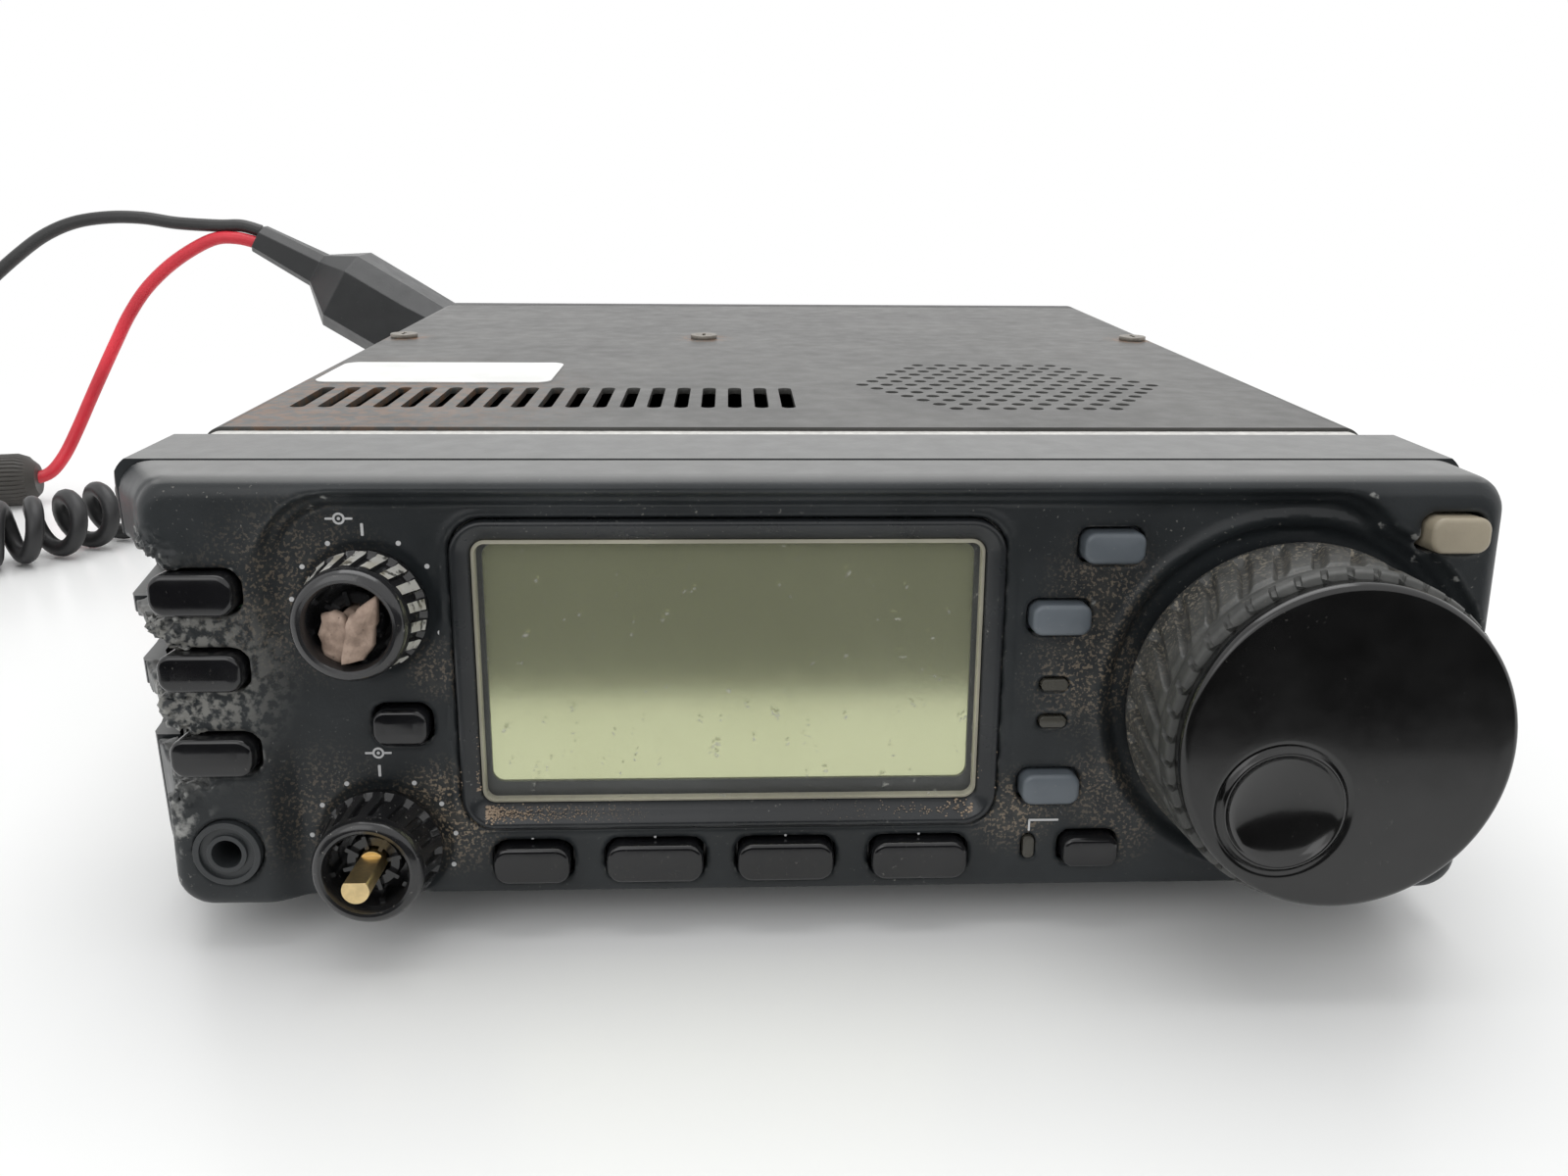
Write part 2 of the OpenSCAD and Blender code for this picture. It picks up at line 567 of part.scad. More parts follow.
module aerial_sockets() color(bare_metal) place() for (x = [14, 66])
    translate([x, chassis_rear - 9, aerial_z]) rotate([-90, 0, 0]) difference() {
        union() {
            translate([0, 0, -4.5]) cylinder(r = 6.2, h = 6);
            rounded_plate(25.4, 25.4, 2, 2);
            for (i = [-1, 1], j = [-1, 1]) translate([i * 9.1, j * 9.1, 1]) cylinder(r = 1.6, h = 1.8);
            cylinder(r = aerial_r, h = 9 + socket_len);
        }
        translate([0, 0, 8 + socket_len]) cylinder(r = 6.6, h = 3);
        translate([0, 0, socket_len - 4]) cylinder(r = 1.95, h = 30);
    }

module rear_sockets() color(black) place() translate([0, chassis_rear, 0]) {
    // power inlet: a shell with pins, filled by the plug
    difference() {
        translate([-74.8, -18, 30.2]) cube([21.6, 20, 15.6]);
        translate([-73.4, -14, 31.6]) cube([18.8, 30, 12.8]);
    }
    for (x = [-69, -64, -59], z = [35, 41]) translate([x, -14.5, z]) rotate([-90, 0, 0]) cylinder(r = 0.8, h = 6);
    // modular microphone inlet
    difference() {
        translate([-68.9, -18, 14.1]) cube([11.8, 19, 9.8]);
        translate([-67.4, -12, 15.2]) cube([8.8, 30, 7.6]);
        translate([-65, -12, 14.5]) cube([4, 30, 2]);
    }
    // accessory and data sockets
    for (z = [20, 40]) translate([-38, -16, z]) rotate([-90, 0, 0]) difference() {
        r = z < 30 ? 5 : 7;
        cylinder(r = r, h = 16);
        translate([0, 0, 12]) ring(r - 0.9, r - 1.9, 6);
        for (a = [20 : 40 : 340]) rotate(a) translate([r - 3, 0, 9]) cylinder(r = 0.45, h = 10, $fn = 16);
    }
    // key and loudspeaker jacks
    for (z = [28, 40]) translate([-21, -16, z]) rotate([-90, 0, 0]) difference() {
        cylinder(r = 3.8, h = 16.5);
        translate([0, 0, 4]) cylinder(r = jack_r, h = 20);
    }
    // earth terminal
    translate([-21, -12, 16]) rotate([-90, 0, 0]) {
        cylinder(r = 1.9, h = 22);
        translate([0, 0, 11.2]) cylinder(r = 4, h = 1);
        translate([0, 0, 12.4]) cylinder(r = 4.2, h = 3.4, $fn = 6);
    }
}

module rubber_feet() color(black) place() for (x = [-66, 66], y = [46, 172])
    translate([x, y, 0]) difference() {
        union() {
            cylinder(r1 = 6.4, r2 = 7, h = 1);
            translate([0, 0, 1]) cylinder(r = 7, h = chassis_bottom - 1);
        }
        translate([0, 0, -1]) cylinder(r = 3.6, h = 3.6);
        translate([0, 0, -1]) cylinder(r = 1.7, h = 9);
    }

module screw(r, head_r, head_h, len) difference() {
    union() {
        cylinder(r = head_r, h = head_h);
        translate([0, 0, -len]) cylinder(r = r, h = len + 0.1);
    }
    translate([-head_r * 0.6, -0.3, head_h - 0.5]) cube([head_r * 1.2, 0.6, 2]);
    translate([-0.3, -head_r * 0.6, head_h - 0.5]) cube([0.6, head_r * 1.2, 2]);
}

module cover_screws() color([0.35, 0.33, 0.3]) place() {
    for (x = [-75.5, -14.2, 75.5]) translate([x, 126, chassis_top]) screw(1.05, 2.7, 0.8, 4);
    for (m = [0, 1], y = [60, 110, 165], z = [19, 41]) mirror([m, 0, 0])
        translate([chassis_w / 2, y, z]) rotate([0, 90, 0]) screw(1.05, 2.7, 0.9, 4.5);
    for (x = [-66, 66], y = [46, 172]) translate([x, y, 1.1 + 1.5]) rotate([180, 0, 0]) screw(1.4, 3.2, 1.1, 8);
    for (x = [-72, 72], z = [11, 53]) translate([x, chassis_rear - 9, z]) rotate([-90, 0, 0]) screw(1.05, 2.7, 1, 8);
}

module cover_label() color([0.93, 0.93, 0.9]) place()
    translate([-57.8, 80.6, chassis_top + 0.02]) rounded_plate(38.6, 21, 2.5, 0.16);

// ---------------------------------------------------------------- leads

// A skin over rings of points that follow one another, closed at both ends
module loft(rings) {
    n = len(rings[0]);
    last = len(rings) - 1;
    polyhedron(
        points = [for (r = rings) each r],
        faces = concat(
            [[for (k = [0 : n - 1]) k]],
            [for (i = [0 : last - 1], k = [0 : n - 1]) [i * n + k, (i + 1) * n + k, (i + 1) * n + (k + 1) % n, i * n + (k + 1) % n]],
            [[for (k = [n - 1 : -1 : 0]) last * n + k]]
        )
    );
}

// A round tube swept along points; side_dir is roughly square to the route all along it
module tube(points, r, side_dir, sides = 8) {
    last = len(points) - 1;
    function unit(v) = v / norm(v);
    function tangent(i) = unit(points[min(i + 1, last)] - points[max(i - 1, 0)]);
    function across(i) = unit(cross(tangent(i), side_dir));
    loft([for (i = [0 : last]) [for (k = [0 : sides - 1])
        points[i] + r * (cos(k * 360 / sides) * across(i) + sin(k * 360 / sides) * cross(tangent(i), across(i)))]]);
}

// Catmull-Rom curve through the route's points, steps points to each span
function spline(p, steps) = concat(
    [for (i = [0 : len(p) - 2], j = [0 : steps - 1])
        let (t = j / steps, a = p[max(i - 1, 0)], b = p[i], c = p[i + 1], d = p[min(i + 2, len(p) - 1)])
        0.5 * (2 * b + (c - a) * t + (2 * a - 5 * b + 4 * c - d) * t * t + (3 * b - a - 3 * c + d) * t * t * t)],
    [p[len(p) - 1]]
);

boot_slant = 31.5;             // rise of the power plug's boot, in degrees
fuse_r = 7.2;
fuse_len = 46;
fuse_right = [-201.5, 212, fuse_r];
fuse_turn = 12;                // direction of the fuse holder on the floor, from straight left
coil_at = [-297, 190];         // centre of the coiled length of both power wires
coil_r = 20.5;
coil_half = 8.6;
coil_layer = 13.8;             // height of one wire's share of the coil

RED_ROUTE = [
    [-137, 225.6, 69.8], [-143, 225, 71.4], [-150, 225, 70.9], [-160, 225, 65.6], [-168.4, 224.5, 58.6],
    [-174.5, 224, 51], [-179.4, 223.6, 43], [-184, 223, 35], [-188.4, 222.2, 27], [-192.2, 220.6, 19.4],
    [-195.6, 218, 12.6], [-198.6, 214.8, 8.4], [-202, 212, 7.2]
];
RED_TAIL = [
    [-246.4, 202.4, 7.2], [-252, 201.6, 5], [-258, 200.6, 2.4], [-263.8, 198.2, 1.9], [-268.2, 194.2, 1.9],
    [-269.7, 190, 1.9]
];
RED_END = [[-297, 162.7, 12.1], [-305, 162.6, 11.6], [-313, 160, 8], [-320, 154, 3.4], [-324, 146, 1.9]];
BLACK_ROUTE = [
    [-137, 226.6, 73.2], [-142, 226.4, 74.6], [-148, 226, 74.6], [-159, 226, 75.2], [-168, 226, 76.5],
    [-177, 225.6, 76.6], [-186, 225, 75.2], [-194, 224, 71.8], [-202, 223, 66.2], [-211, 221.6, 58.6],
    [-220, 220, 50], [-231, 218.6, 40.4], [-243, 217.4, 31], [-256, 216.6, 23], [-268, 216.6, 18.2],
    [-282, 217.1, 16], [-297, 217.3, 15.8]
];
BLACK_END = [[-297, 162.7, 26], [-288, 162.4, 25.4], [-279, 160.4, 19], [-272, 156, 9], [-269, 150.6, 3], [-268, 144, 1.9]];
MIC_TAIL = [
    [-63, 207, 19], [-63, 214, 18.6], [-64, 222, 16.6], [-67, 229, 12.6], [-73, 234, 8], [-81, 236, 4.6],
    [-90, 235, 2.8], [-99, 231, 2.6], [-107, 226, 4.4], [-113, 222, 8.1]
];
CURL_ROUTE = [
    [-113, 222, 8.1], [-122, 216, 8.1], [-132, 208.6, 8.1], [-142, 200.6, 8.1], [-151, 192.4, 8.1],
    [-158, 185, 8.1], [-163, 177.6, 8.1], [-167, 170, 8.1], [-171, 162.6, 8.1], [-177, 156.4, 8.1],
    [-185, 151.8, 8.1], [-194, 147, 8.1], [-202, 140, 8.1], [-207.5, 131, 8.1], [-210, 120, 8.1],
    [-210.5, 108, 8.1], [-210, 95, 8.1]
];
MIC_END = [
    [-210, 95, 8.1], [-209.6, 88, 6.6], [-209, 80, 4], [-208, 72, 2.6], [-207, 64, 2.7], [-206, 56, 4.4]
];

// Section of the power plug's boot, square to its slanting axis at distance a along it;
// low and high are its edges and front and rear its faces
function boot_ring(a, low, high, front, rear, chamfer) = [
    [low, front + chamfer, a], [low + chamfer * 0.7, front, a], [high - chamfer * 0.7, front, a], [high, front + chamfer, a],
    [high, rear - 2, a], [high - 2, rear, a], [low + 2, rear, a], [low, rear - 2, a]
];

module dc_plug() color([0.05, 0.05, 0.055]) place() {
    // six-way plug in the inlet, and its head
    translate([-73.2, chassis_rear - 7, 31.8]) cube([18.4, 13, 12.4]);
    translate([-76, chassis_rear + 5, 29.5]) cube([24, 12, 18]);
    // flat moulded boot that turns the wires up and to the left, and its neck
    rotate([0, boot_slant - 90, 0]) loft([
        boot_ring(67, -5, 9, 207, 215, 2), boot_ring(86, -21.4, 0, 214.6, 235, 4),
        boot_ring(112, -21.6, 0, 214, 236, 6), boot_ring(128.6, -21.6, 0, 214, 236, 6),
        boot_ring(137, -14.9, -5.4, 221.4, 230.6, 2.5), boot_ring(154.5, -14.9, -7.2, 222.4, 229.6, 2.4)
    ]);
}

module red_lead() color([0.75, 0.1, 0.1]) place() {
    tube(spline(RED_ROUTE, 2), wire_d / 2, [0, 1, 0]);
    tube(spline(RED_TAIL, 2), wire_d / 2, [0, 0, 1]);
    tube(spline(RED_END, 2), wire_d / 2, [1, 1, 2]);
}

module black_lead() color(black) place() {
    tube(spline(BLACK_ROUTE, 2), wire_d / 2, [0, 1, 0]);
    tube(spline(BLACK_END, 2), wire_d / 2, [-1, 1, 2]);
}

module fuse_holder() color(black) place() translate(fuse_right) rotate([0, -90, fuse_turn]) difference() {
    union() {
        cylinder(r1 = 6.2, r2 = fuse_r, h = 2);
        translate([0, 0, 2]) cylinder(r = fuse_r, h = 20);
        translate([0, 0, 21.9]) cylinder(r = 6.6, h = fuse_len - 26);
        translate([0, 0, fuse_len - 4.2]) cylinder(r1 = 6.6, r2 = 3, h = 4.2);
    }
    for (a = [0 : 12 : 348]) rotate(a) translate([fuse_r + 0.25, 0, 3]) cylinder(r = 0.55, h = 17, $fn = 16);
}

module lead_coils() color(black) place() for (layer = [0, 1])
    translate([coil_at[0], coil_at[1], 0.1 + layer * (coil_layer + 0.1)]) rotate_extrude($fn = fine)
        translate([coil_r - coil_half, 0]) square([2 * coil_half, coil_layer]);

// Crimped ring terminal, lying flat with its barrel towards the wire
module ring_terminal() {
    difference() {
        translate([0, 6, 0]) rotate([90, 0, 0]) cylinder(r = 2.4, h = 8);
        translate([0, 8, 0]) rotate([90, 0, 0]) cylinder(r = wire_d / 2 + 0.02, h = 7);
    }
    translate([0, 0, -2.2]) difference() {
        union() {
            translate([-1.8, -6, 0]) cube([3.6, 6, 1]);
            translate([0, -9, 0]) cylinder(r = 4.4, h = 1);
        }
        translate([0, -9, -1]) cylinder(r = 2.2, h = 3);
    }
}

module ring_terminals() color([0.75, 0.7, 0.6]) place() {
    translate([-324.6, 144.8, 2.5]) rotate([0, 0, -27]) ring_terminal();
    translate([-267.9, 142.6, 2.5]) rotate([0, 0, 8]) ring_terminal();
}

module modular_plug() {
    translate([-5.6, 0, -4]) cube([11.2, 8, 8]);
    translate([-4.2, -12, -3.6]) cube([8.4, 12.1, 7.2]);
    translate([-1.6, -8, -4.3]) cube([3.2, 15, 0.9]);
    translate([0, 7.9, 0]) rotate([-90, 0, 0]) cylinder(r1 = 3.6, r2 = 2.6, h = 6);
}

module mic_plugs() color([0.1, 0.1, 0.1]) place() {
    translate([-63, chassis_rear + 1.1, 19]) modular_plug();
    translate([-206, 48.1, 5]) modular_plug();
}

module mic_tail() color(black) place() {
    difference() {
        tube(spline(MIC_TAIL, 2), mic_cord_d / 2, [0, 0, 1]);
        translate([-70, 200, 10]) cube([14, 15.1, 18]);
    }
    difference() {
        tube(spline(MIC_END, 2), mic_cord_d / 2, [0, 0, 1]);
        translate([-213, 40, -5]) cube([14, 22.1, 18]);
    }
}

module mic_curl() color(black) place() tube(spline(CURL_ROUTE, 2), curl_d / 2, [0, 0, 1], 12);

// ---------------------------------------------------------------- all parts

front_bezel();
head_rear_shell();
display_surround();
display_window();
lcd_panel();
lcd_frame();
key_board();
key_switches();
status_lenses();
phones_jack();
dial_encoder();
dial_spindle();
dial_core();
dial_grip();
dial_cap();
double_controls();
af_ring();
af_spindle();
shift_ring();
shift_spindle();
head_screws();
color(black) key_named("power_key");  // power_key
color(black) key_named("preamp_key");  // preamp_key
color(black) key_named("tuner_key");  // tuner_key
color(black) key_named("rit_key");  // rit_key
color(black) key_named("menu_key");  // menu_key
color(black) key_named("f1_key");  // f1_key
color(black) key_named("f2_key");  // f2_key
color(black) key_named("f3_key");  // f3_key
color([0.3, 0.33, 0.36]) key_named("mode_key");  // mode_key
color([0.3, 0.33, 0.36]) key_named("step_key");  // step_key
color([0.3, 0.33, 0.36]) key_named("display_key");  // display_key
color(black) key_named("lock_key");  // lock_key
color([0.5, 0.46, 0.4]) key_named("up_key");  // up_key
color([0.5, 0.46, 0.4]) key_named("down_key");  // down_key
docking_frame();
chassis_casting();
top_cover();
bottom_cover();
heat_sink();
circuit_boards();
board_parts();
speaker_frame();
speaker_cone();
fan_housing();
fan_rotor();
aerial_sockets();
rear_sockets();
rubber_feet();
cover_screws();
cover_label();
dc_plug();
red_lead();
black_lead();
fuse_holder();
lead_coils();
ring_terminals();
mic_plugs();
mic_tail();
mic_curl();
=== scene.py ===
import bpy
import bmesh
import math
from mathutils import Matrix, Vector, noise


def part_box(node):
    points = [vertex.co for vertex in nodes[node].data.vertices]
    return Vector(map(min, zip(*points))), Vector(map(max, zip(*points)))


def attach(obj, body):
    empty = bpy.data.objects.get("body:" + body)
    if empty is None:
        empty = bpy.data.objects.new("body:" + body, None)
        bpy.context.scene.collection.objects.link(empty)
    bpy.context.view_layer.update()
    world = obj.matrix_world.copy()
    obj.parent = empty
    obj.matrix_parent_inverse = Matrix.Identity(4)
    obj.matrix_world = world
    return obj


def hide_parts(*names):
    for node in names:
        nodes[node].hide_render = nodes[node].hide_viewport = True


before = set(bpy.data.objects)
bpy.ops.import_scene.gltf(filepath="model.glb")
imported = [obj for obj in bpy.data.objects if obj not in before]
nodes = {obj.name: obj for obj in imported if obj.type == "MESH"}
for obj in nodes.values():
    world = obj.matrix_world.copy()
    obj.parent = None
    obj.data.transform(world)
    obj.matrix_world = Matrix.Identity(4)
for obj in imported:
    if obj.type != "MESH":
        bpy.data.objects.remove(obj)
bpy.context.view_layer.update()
mm = 0.001

# the drawing has y = 0 at the face's lower edge; the frame's origin is further back
faceTilt = math.radians(5)
footHeight = 5
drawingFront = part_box("top_cover")[0][1] - 34 * mm


def place(x, y, z):
    return Vector((x * mm, y * mm + drawingFront, z * mm))


def facePoint(x, s, n=0.0):
    # a point of the drawing, given across the face, up it and out of it
    return Vector((x, s * math.sin(faceTilt) - n * math.cos(faceTilt),
                   footHeight + s * math.cos(faceTilt) + n * math.sin(faceTilt)))


def onFace(x, s, n=0.0):
    return place(*facePoint(x, s, n))


print("camera")
eye = {"lens": 29.25, "at": (-8.79, -140.83, 93.4), "down": 18.63, "right": 2.51, "roll": 0.56}


def addCamera():
    data = bpy.data.cameras.new("deskCamera")
    data.sensor_width = 36
    data.lens = eye["lens"]
    data.clip_start = 0.01
    cam = bpy.data.objects.new("deskCamera", data)
    bpy.context.scene.collection.objects.link(cam)
    down, right, roll = (math.radians(eye[k]) for k in ("down", "right", "roll"))
    look = Vector((math.sin(right) * math.cos(down), math.cos(right) * math.cos(down), -math.sin(down)))
    side = Vector((math.cos(right), -math.sin(right), 0))
    top = side.cross(look)
    sideRolled = side * math.cos(roll) + top * math.sin(roll)
    topRolled = top * math.cos(roll) - side * math.sin(roll)
    m = Matrix.Identity(4)
    for row in range(3):
        m[row][0] = sideRolled[row]
        m[row][1] = topRolled[row]
        m[row][2] = -look[row]
        m[row][3] = place(*eye["at"])[row]
    cam.matrix_world = m
    bpy.context.scene.camera = cam


addCamera()
bpy.context.scene.view_settings.view_transform = "Standard"


def smoothStep(t):
    t = min(1.0, max(0.0, t))
    return t * t * (3 - 2 * t)


def makeObject(name, bm, body, finishes=(), smooth=40):
    mesh = bm if isinstance(bm, bpy.types.Mesh) else bpy.data.meshes.new(name)
    if mesh is not bm:
        bmesh.ops.recalc_face_normals(bm, faces=bm.faces)
        bm.to_mesh(mesh)
        bm.free()
    piece = bpy.data.objects.new(name, mesh)
    bpy.context.scene.collection.objects.link(piece)
    for finish in finishes:
        mesh.materials.append(finish)
    if smooth:
        mesh.shade_smooth()
        mesh.set_sharp_from_angle(angle=math.radians(smooth))
    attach(piece, body)
    return piece


def roundedRect(w, h, r, steps=6):
    # outline counterclockwise, centred on nothing
    points = []
    for cx, cy, start in ((w / 2 - r, r - h / 2, -90), (w / 2 - r, h / 2 - r, 0),
                          (r - w / 2, h / 2 - r, 90), (r - w / 2, r - h / 2, 180)):
        for i in range(steps + 1):
            a = math.radians(start + 90 * i / steps)
            points.append((cx + r * math.cos(a), cy + r * math.sin(a)))
    return points


def roundedSteps(w, h, r, levels, steps=6):
    # rings of one rounded rectangle, drawn in by inset at height n
    return [[(x, y, n) for x, y in roundedRect(w - 2 * inset, h - 2 * inset, max(0.05, r - inset), steps)]
            for inset, n in levels]


def circleSteps(profile, sides, centre=(0, 0)):
    # rings of a turned shape from its (radius, height) profile
    return [[(centre[0] + r * math.cos(a), centre[1] + r * math.sin(a), n)
             for a in (2 * math.pi * k / sides for k in range(sides))] for r, n in profile]


def skin(bm, rings, at=None, start=True, end=True, loop=False):
    # faces between rings that follow one another; at turns a ring's point into the frame's
    loops = [[bm.verts.new(at(*p) if at else p) for p in ring] for ring in rings]
    pairs = list(zip(loops, loops[1:])) + ([(loops[-1], loops[0])] if loop else [])
    for a, b in pairs:
        count = len(a)
        for k in range(count):
            bm.faces.new((a[k], a[(k + 1) % count], b[(k + 1) % count], b[k]))
    if start and not loop:
        bm.faces.new(loops[0][::-1])
    if end and not loop:
        bm.faces.new(loops[-1])
    return loops


def sweep(bm, path, radius, sides=12):
    # a round tube along the path, turned as little as possible from ring to ring
    rings = []
    normal = None
    for i, p in enumerate(path):
        ahead = (path[min(i + 1, len(path) - 1)] - path[max(i - 1, 0)]).normalized()
        if normal is None:
            normal = ahead.orthogonal().normalized()
        normal = (normal - ahead * normal.dot(ahead)).normalized()
        across = ahead.cross(normal)
        rings.append([p + (normal * math.cos(a) + across * math.sin(a)) * radius
                      for a in (2 * math.pi * k / sides for k in range(sides))])
    skin(bm, rings)


def curveThrough(points, steps):
    # Catmull-Rom, as the drawing's leads are drawn
    out = []
    for i in range(len(points) - 1):
        a, b = points[max(i - 1, 0)], points[i]
        c, d = points[i + 1], points[min(i + 2, len(points) - 1)]
        for j in range(steps):
            t = j / steps
            out.append(0.5 * (2 * b + (c - a) * t + (2 * a - 5 * b + 4 * c - d) * t * t
                              + (3 * b - a - 3 * c + d) * t ** 3))
    return out + [points[-1].copy()]


def lengthOf(path):
    return sum((b - a).length for a, b in zip(path, path[1:]))


print("power leads")
wire = {
    "thick": 3.4, "coilAt": (-297, 190), "coilRadius": 20.5, "pitch": 3.42, "columns": 5, "rows": 4,
    "red": [(-137, 225.6, 69.8), (-143, 225, 71.4), (-150, 225, 70.9), (-160, 225, 65.6), (-168.4, 224.5, 58.6),
            (-174.5, 224, 51), (-179.4, 223.6, 43), (-184, 223, 35), (-188.4, 222.2, 27), (-192.2, 220.6, 19.4),
            (-195.6, 218, 12.6), (-198.6, 214.8, 8.4), (-202, 212, 7.2)],
    "redTail": [(-246.4, 202.4, 7.2), (-252, 201.6, 5), (-258, 200.6, 2.4), (-263.8, 198.2, 1.9),
                (-268.2, 194.2, 1.9)],
    "redEnd": [(-305, 162.6, 11.6), (-313, 160, 8), (-320, 154, 3.4), (-324, 146, 1.9)],
    "black": [(-137, 226.6, 73.2), (-142, 226.4, 74.6), (-148, 226, 74.6), (-159, 226, 75.2), (-168, 226, 76.5),
              (-177, 225.6, 76.6), (-186, 225, 75.2), (-194, 224, 71.8), (-202, 223, 66.2), (-211, 221.6, 58.6),
              (-220, 220, 50), (-231, 218.6, 40.4), (-243, 217.4, 31), (-256, 216.6, 23), (-268, 216.6, 18.2),
              (-282, 217.1, 16)],
    "blackEnd": [(-288, 162.4, 25.4), (-279, 160.4, 19), (-272, 156, 9), (-269, 150.6, 3), (-268, 144, 1.9)],
}


def coilTurns(startAngle, turns, clockwise, floorZ):
    # rows of turns, wound in and out, each turn one pitch beside or above the last
    points = []
    stepsPerTurn = 28

    def cell(k):
        row, column = divmod(k, wire["columns"])
        row = min(row, wire["rows"] - 1)
        return (wire["columns"] - 1 - column if row % 2 == 0 else column), row

    for i in range(int(round(turns * stepsPerTurn)) + 1):
        t = i / stepsPerTurn
        turn = int(t)
        slide = smoothStep((t - turn - 0.7) / 0.3)
        (colA, rowA), (colB, rowB) = cell(turn), cell(turn + 1)
        column = colA + (colB - colA) * slide
        row = rowA + (rowB - rowA) * slide
        r = wire["coilRadius"] + (column - (wire["columns"] - 1) / 2) * wire["pitch"]
        a = startAngle + (-1 if clockwise else 1) * 2 * math.pi * t
        points.append(place(wire["coilAt"][0] + r * math.cos(a), wire["coilAt"][1] + r * math.sin(a),
                            floorZ + row * wire["pitch"]))
    return points


def addCord(name, path, thick, sides, *replaced):
    bm = bmesh.new()
    sweep(bm, path, thick * mm / 2, sides)
    cord = makeObject(name, bm, "chassis", smooth=80)
    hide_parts(*replaced)
    return cord


fuse = {"at": (-201.5, 212, 7.2), "turn": 12, "radius": 7.2, "length": 46, "ribs": 36, "ribDepth": 0.35}


def addFuseHolder():
    # two ribbed cups that screw together, a wire out of each end
    turn = math.radians(fuse["turn"])
    along = Vector((-math.cos(turn), -math.sin(turn), 0))
    across = Vector((math.sin(turn), -math.cos(turn), 0))
    up = Vector((0, 0, 1))
    start = Vector(fuse["at"])
    r = fuse["radius"]
    end = fuse["length"]
    profile = [(2.2, -0.9, 0), (4.2, -0.9, 0), (4.8, -0.3, 0), (5.4, 0.4, 0), (6.3, 1.2, 0.3), (r, 3.6, 1), (r, 20.5, 1),
               (r - 0.4, 21, 0), (r - 1, 21.2, 0), (r - 1, 22.6, 0), (r - 0.4, 22.8, 0), (r, 23.4, 1), (r, end - 5, 1),
               (6.0, end - 1.6, 0.3), (5.0, end - 0.4, 0), (4.0, end, 0), (2.0, end, 0)]
    sides = fuse["ribs"] * 4
    rings = []
    for radius, t, ribbed in profile:
        ring = []
        for k in range(sides):
            a = 2 * math.pi * k / sides
            rr = radius - (fuse["ribDepth"] * ribbed if k % 4 == 0 else 0)
            ring.append(place(*(start + along * t + (across * math.cos(a) + up * math.sin(a)) * rr)))
        rings.append(ring)
    bm = bmesh.new()
    skin(bm, rings)
    piece = makeObject("fuseHolder", bm, "chassis", smooth=32)
    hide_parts("fuse_holder")
    return piece


fuseHolder = addFuseHolder()
redPath = curveThrough([place(*p) for p in wire["red"]], 6)
redWire = addCord("redWire", redPath, wire["thick"], 14, "red_lead")
redTurns = coilTurns(0, 19.25, True, 1.9)
redTailPath = (curveThrough([place(*p) for p in wire["redTail"]] + redTurns[:1], 6)[:-1] + redTurns
               + curveThrough(redTurns[-1:] + [place(*p) for p in wire["redEnd"]], 6)[1:])
redTail = addCord("redWireTail", redTailPath, wire["thick"], 10, "red_lead", "lead_coils")
blackTurns = coilTurns(math.pi / 2, 19.5, False, 15.8)
blackPath = (curveThrough([place(*p) for p in wire["black"]] + blackTurns[:1], 6)[:-1] + blackTurns
             + curveThrough(blackTurns[-1:] + [place(*p) for p in wire["blackEnd"]], 6)[1:])
blackWire = addCord("blackWire", blackPath, wire["thick"], 12, "black_lead", "lead_coils")
print("  red", round(lengthOf(redPath) + lengthOf(redTailPath), 3), "black", round(lengthOf(blackPath), 3))

print("microphone cord")
curl = {
    "thick": 4, "radius": 5.9, "openPitch": 8.4, "closePitch": 4.8, "startPitch": 30, "ease": 20,
    "openFrom": (-148, 195), "openTo": (-186, 151),
    "tail": [(-63, 207, 19), (-63, 214, 18.6), (-64, 222, 16.6), (-67, 229, 12.6), (-73, 234, 8), (-81, 236, 4.6),
             (-90, 235, 2.8), (-99, 231, 2.6), (-107, 226, 4.4)],
    "axis": [(-113, 222, 8.1), (-122, 216, 8.1), (-132, 208.6, 8.1), (-142, 200.6, 8.1), (-151, 192.4, 8.1),
             (-158, 185, 8.1), (-163, 177.6, 8.1), (-167, 170, 8.1), (-171, 162.6, 8.1), (-177, 156.4, 8.1),
             (-185, 151.8, 8.1), (-194, 147, 8.1), (-202, 140, 8.1), (-207.5, 131, 8.1), (-210, 120, 8.1),
             (-210.5, 108, 8.1), (-210, 95, 8.1)],
    "end": [(-209.6, 88, 6.6), (-209, 80, 4), (-208, 72, 2.6), (-207, 64, 2.7), (-206, 56, 4.4)],
}


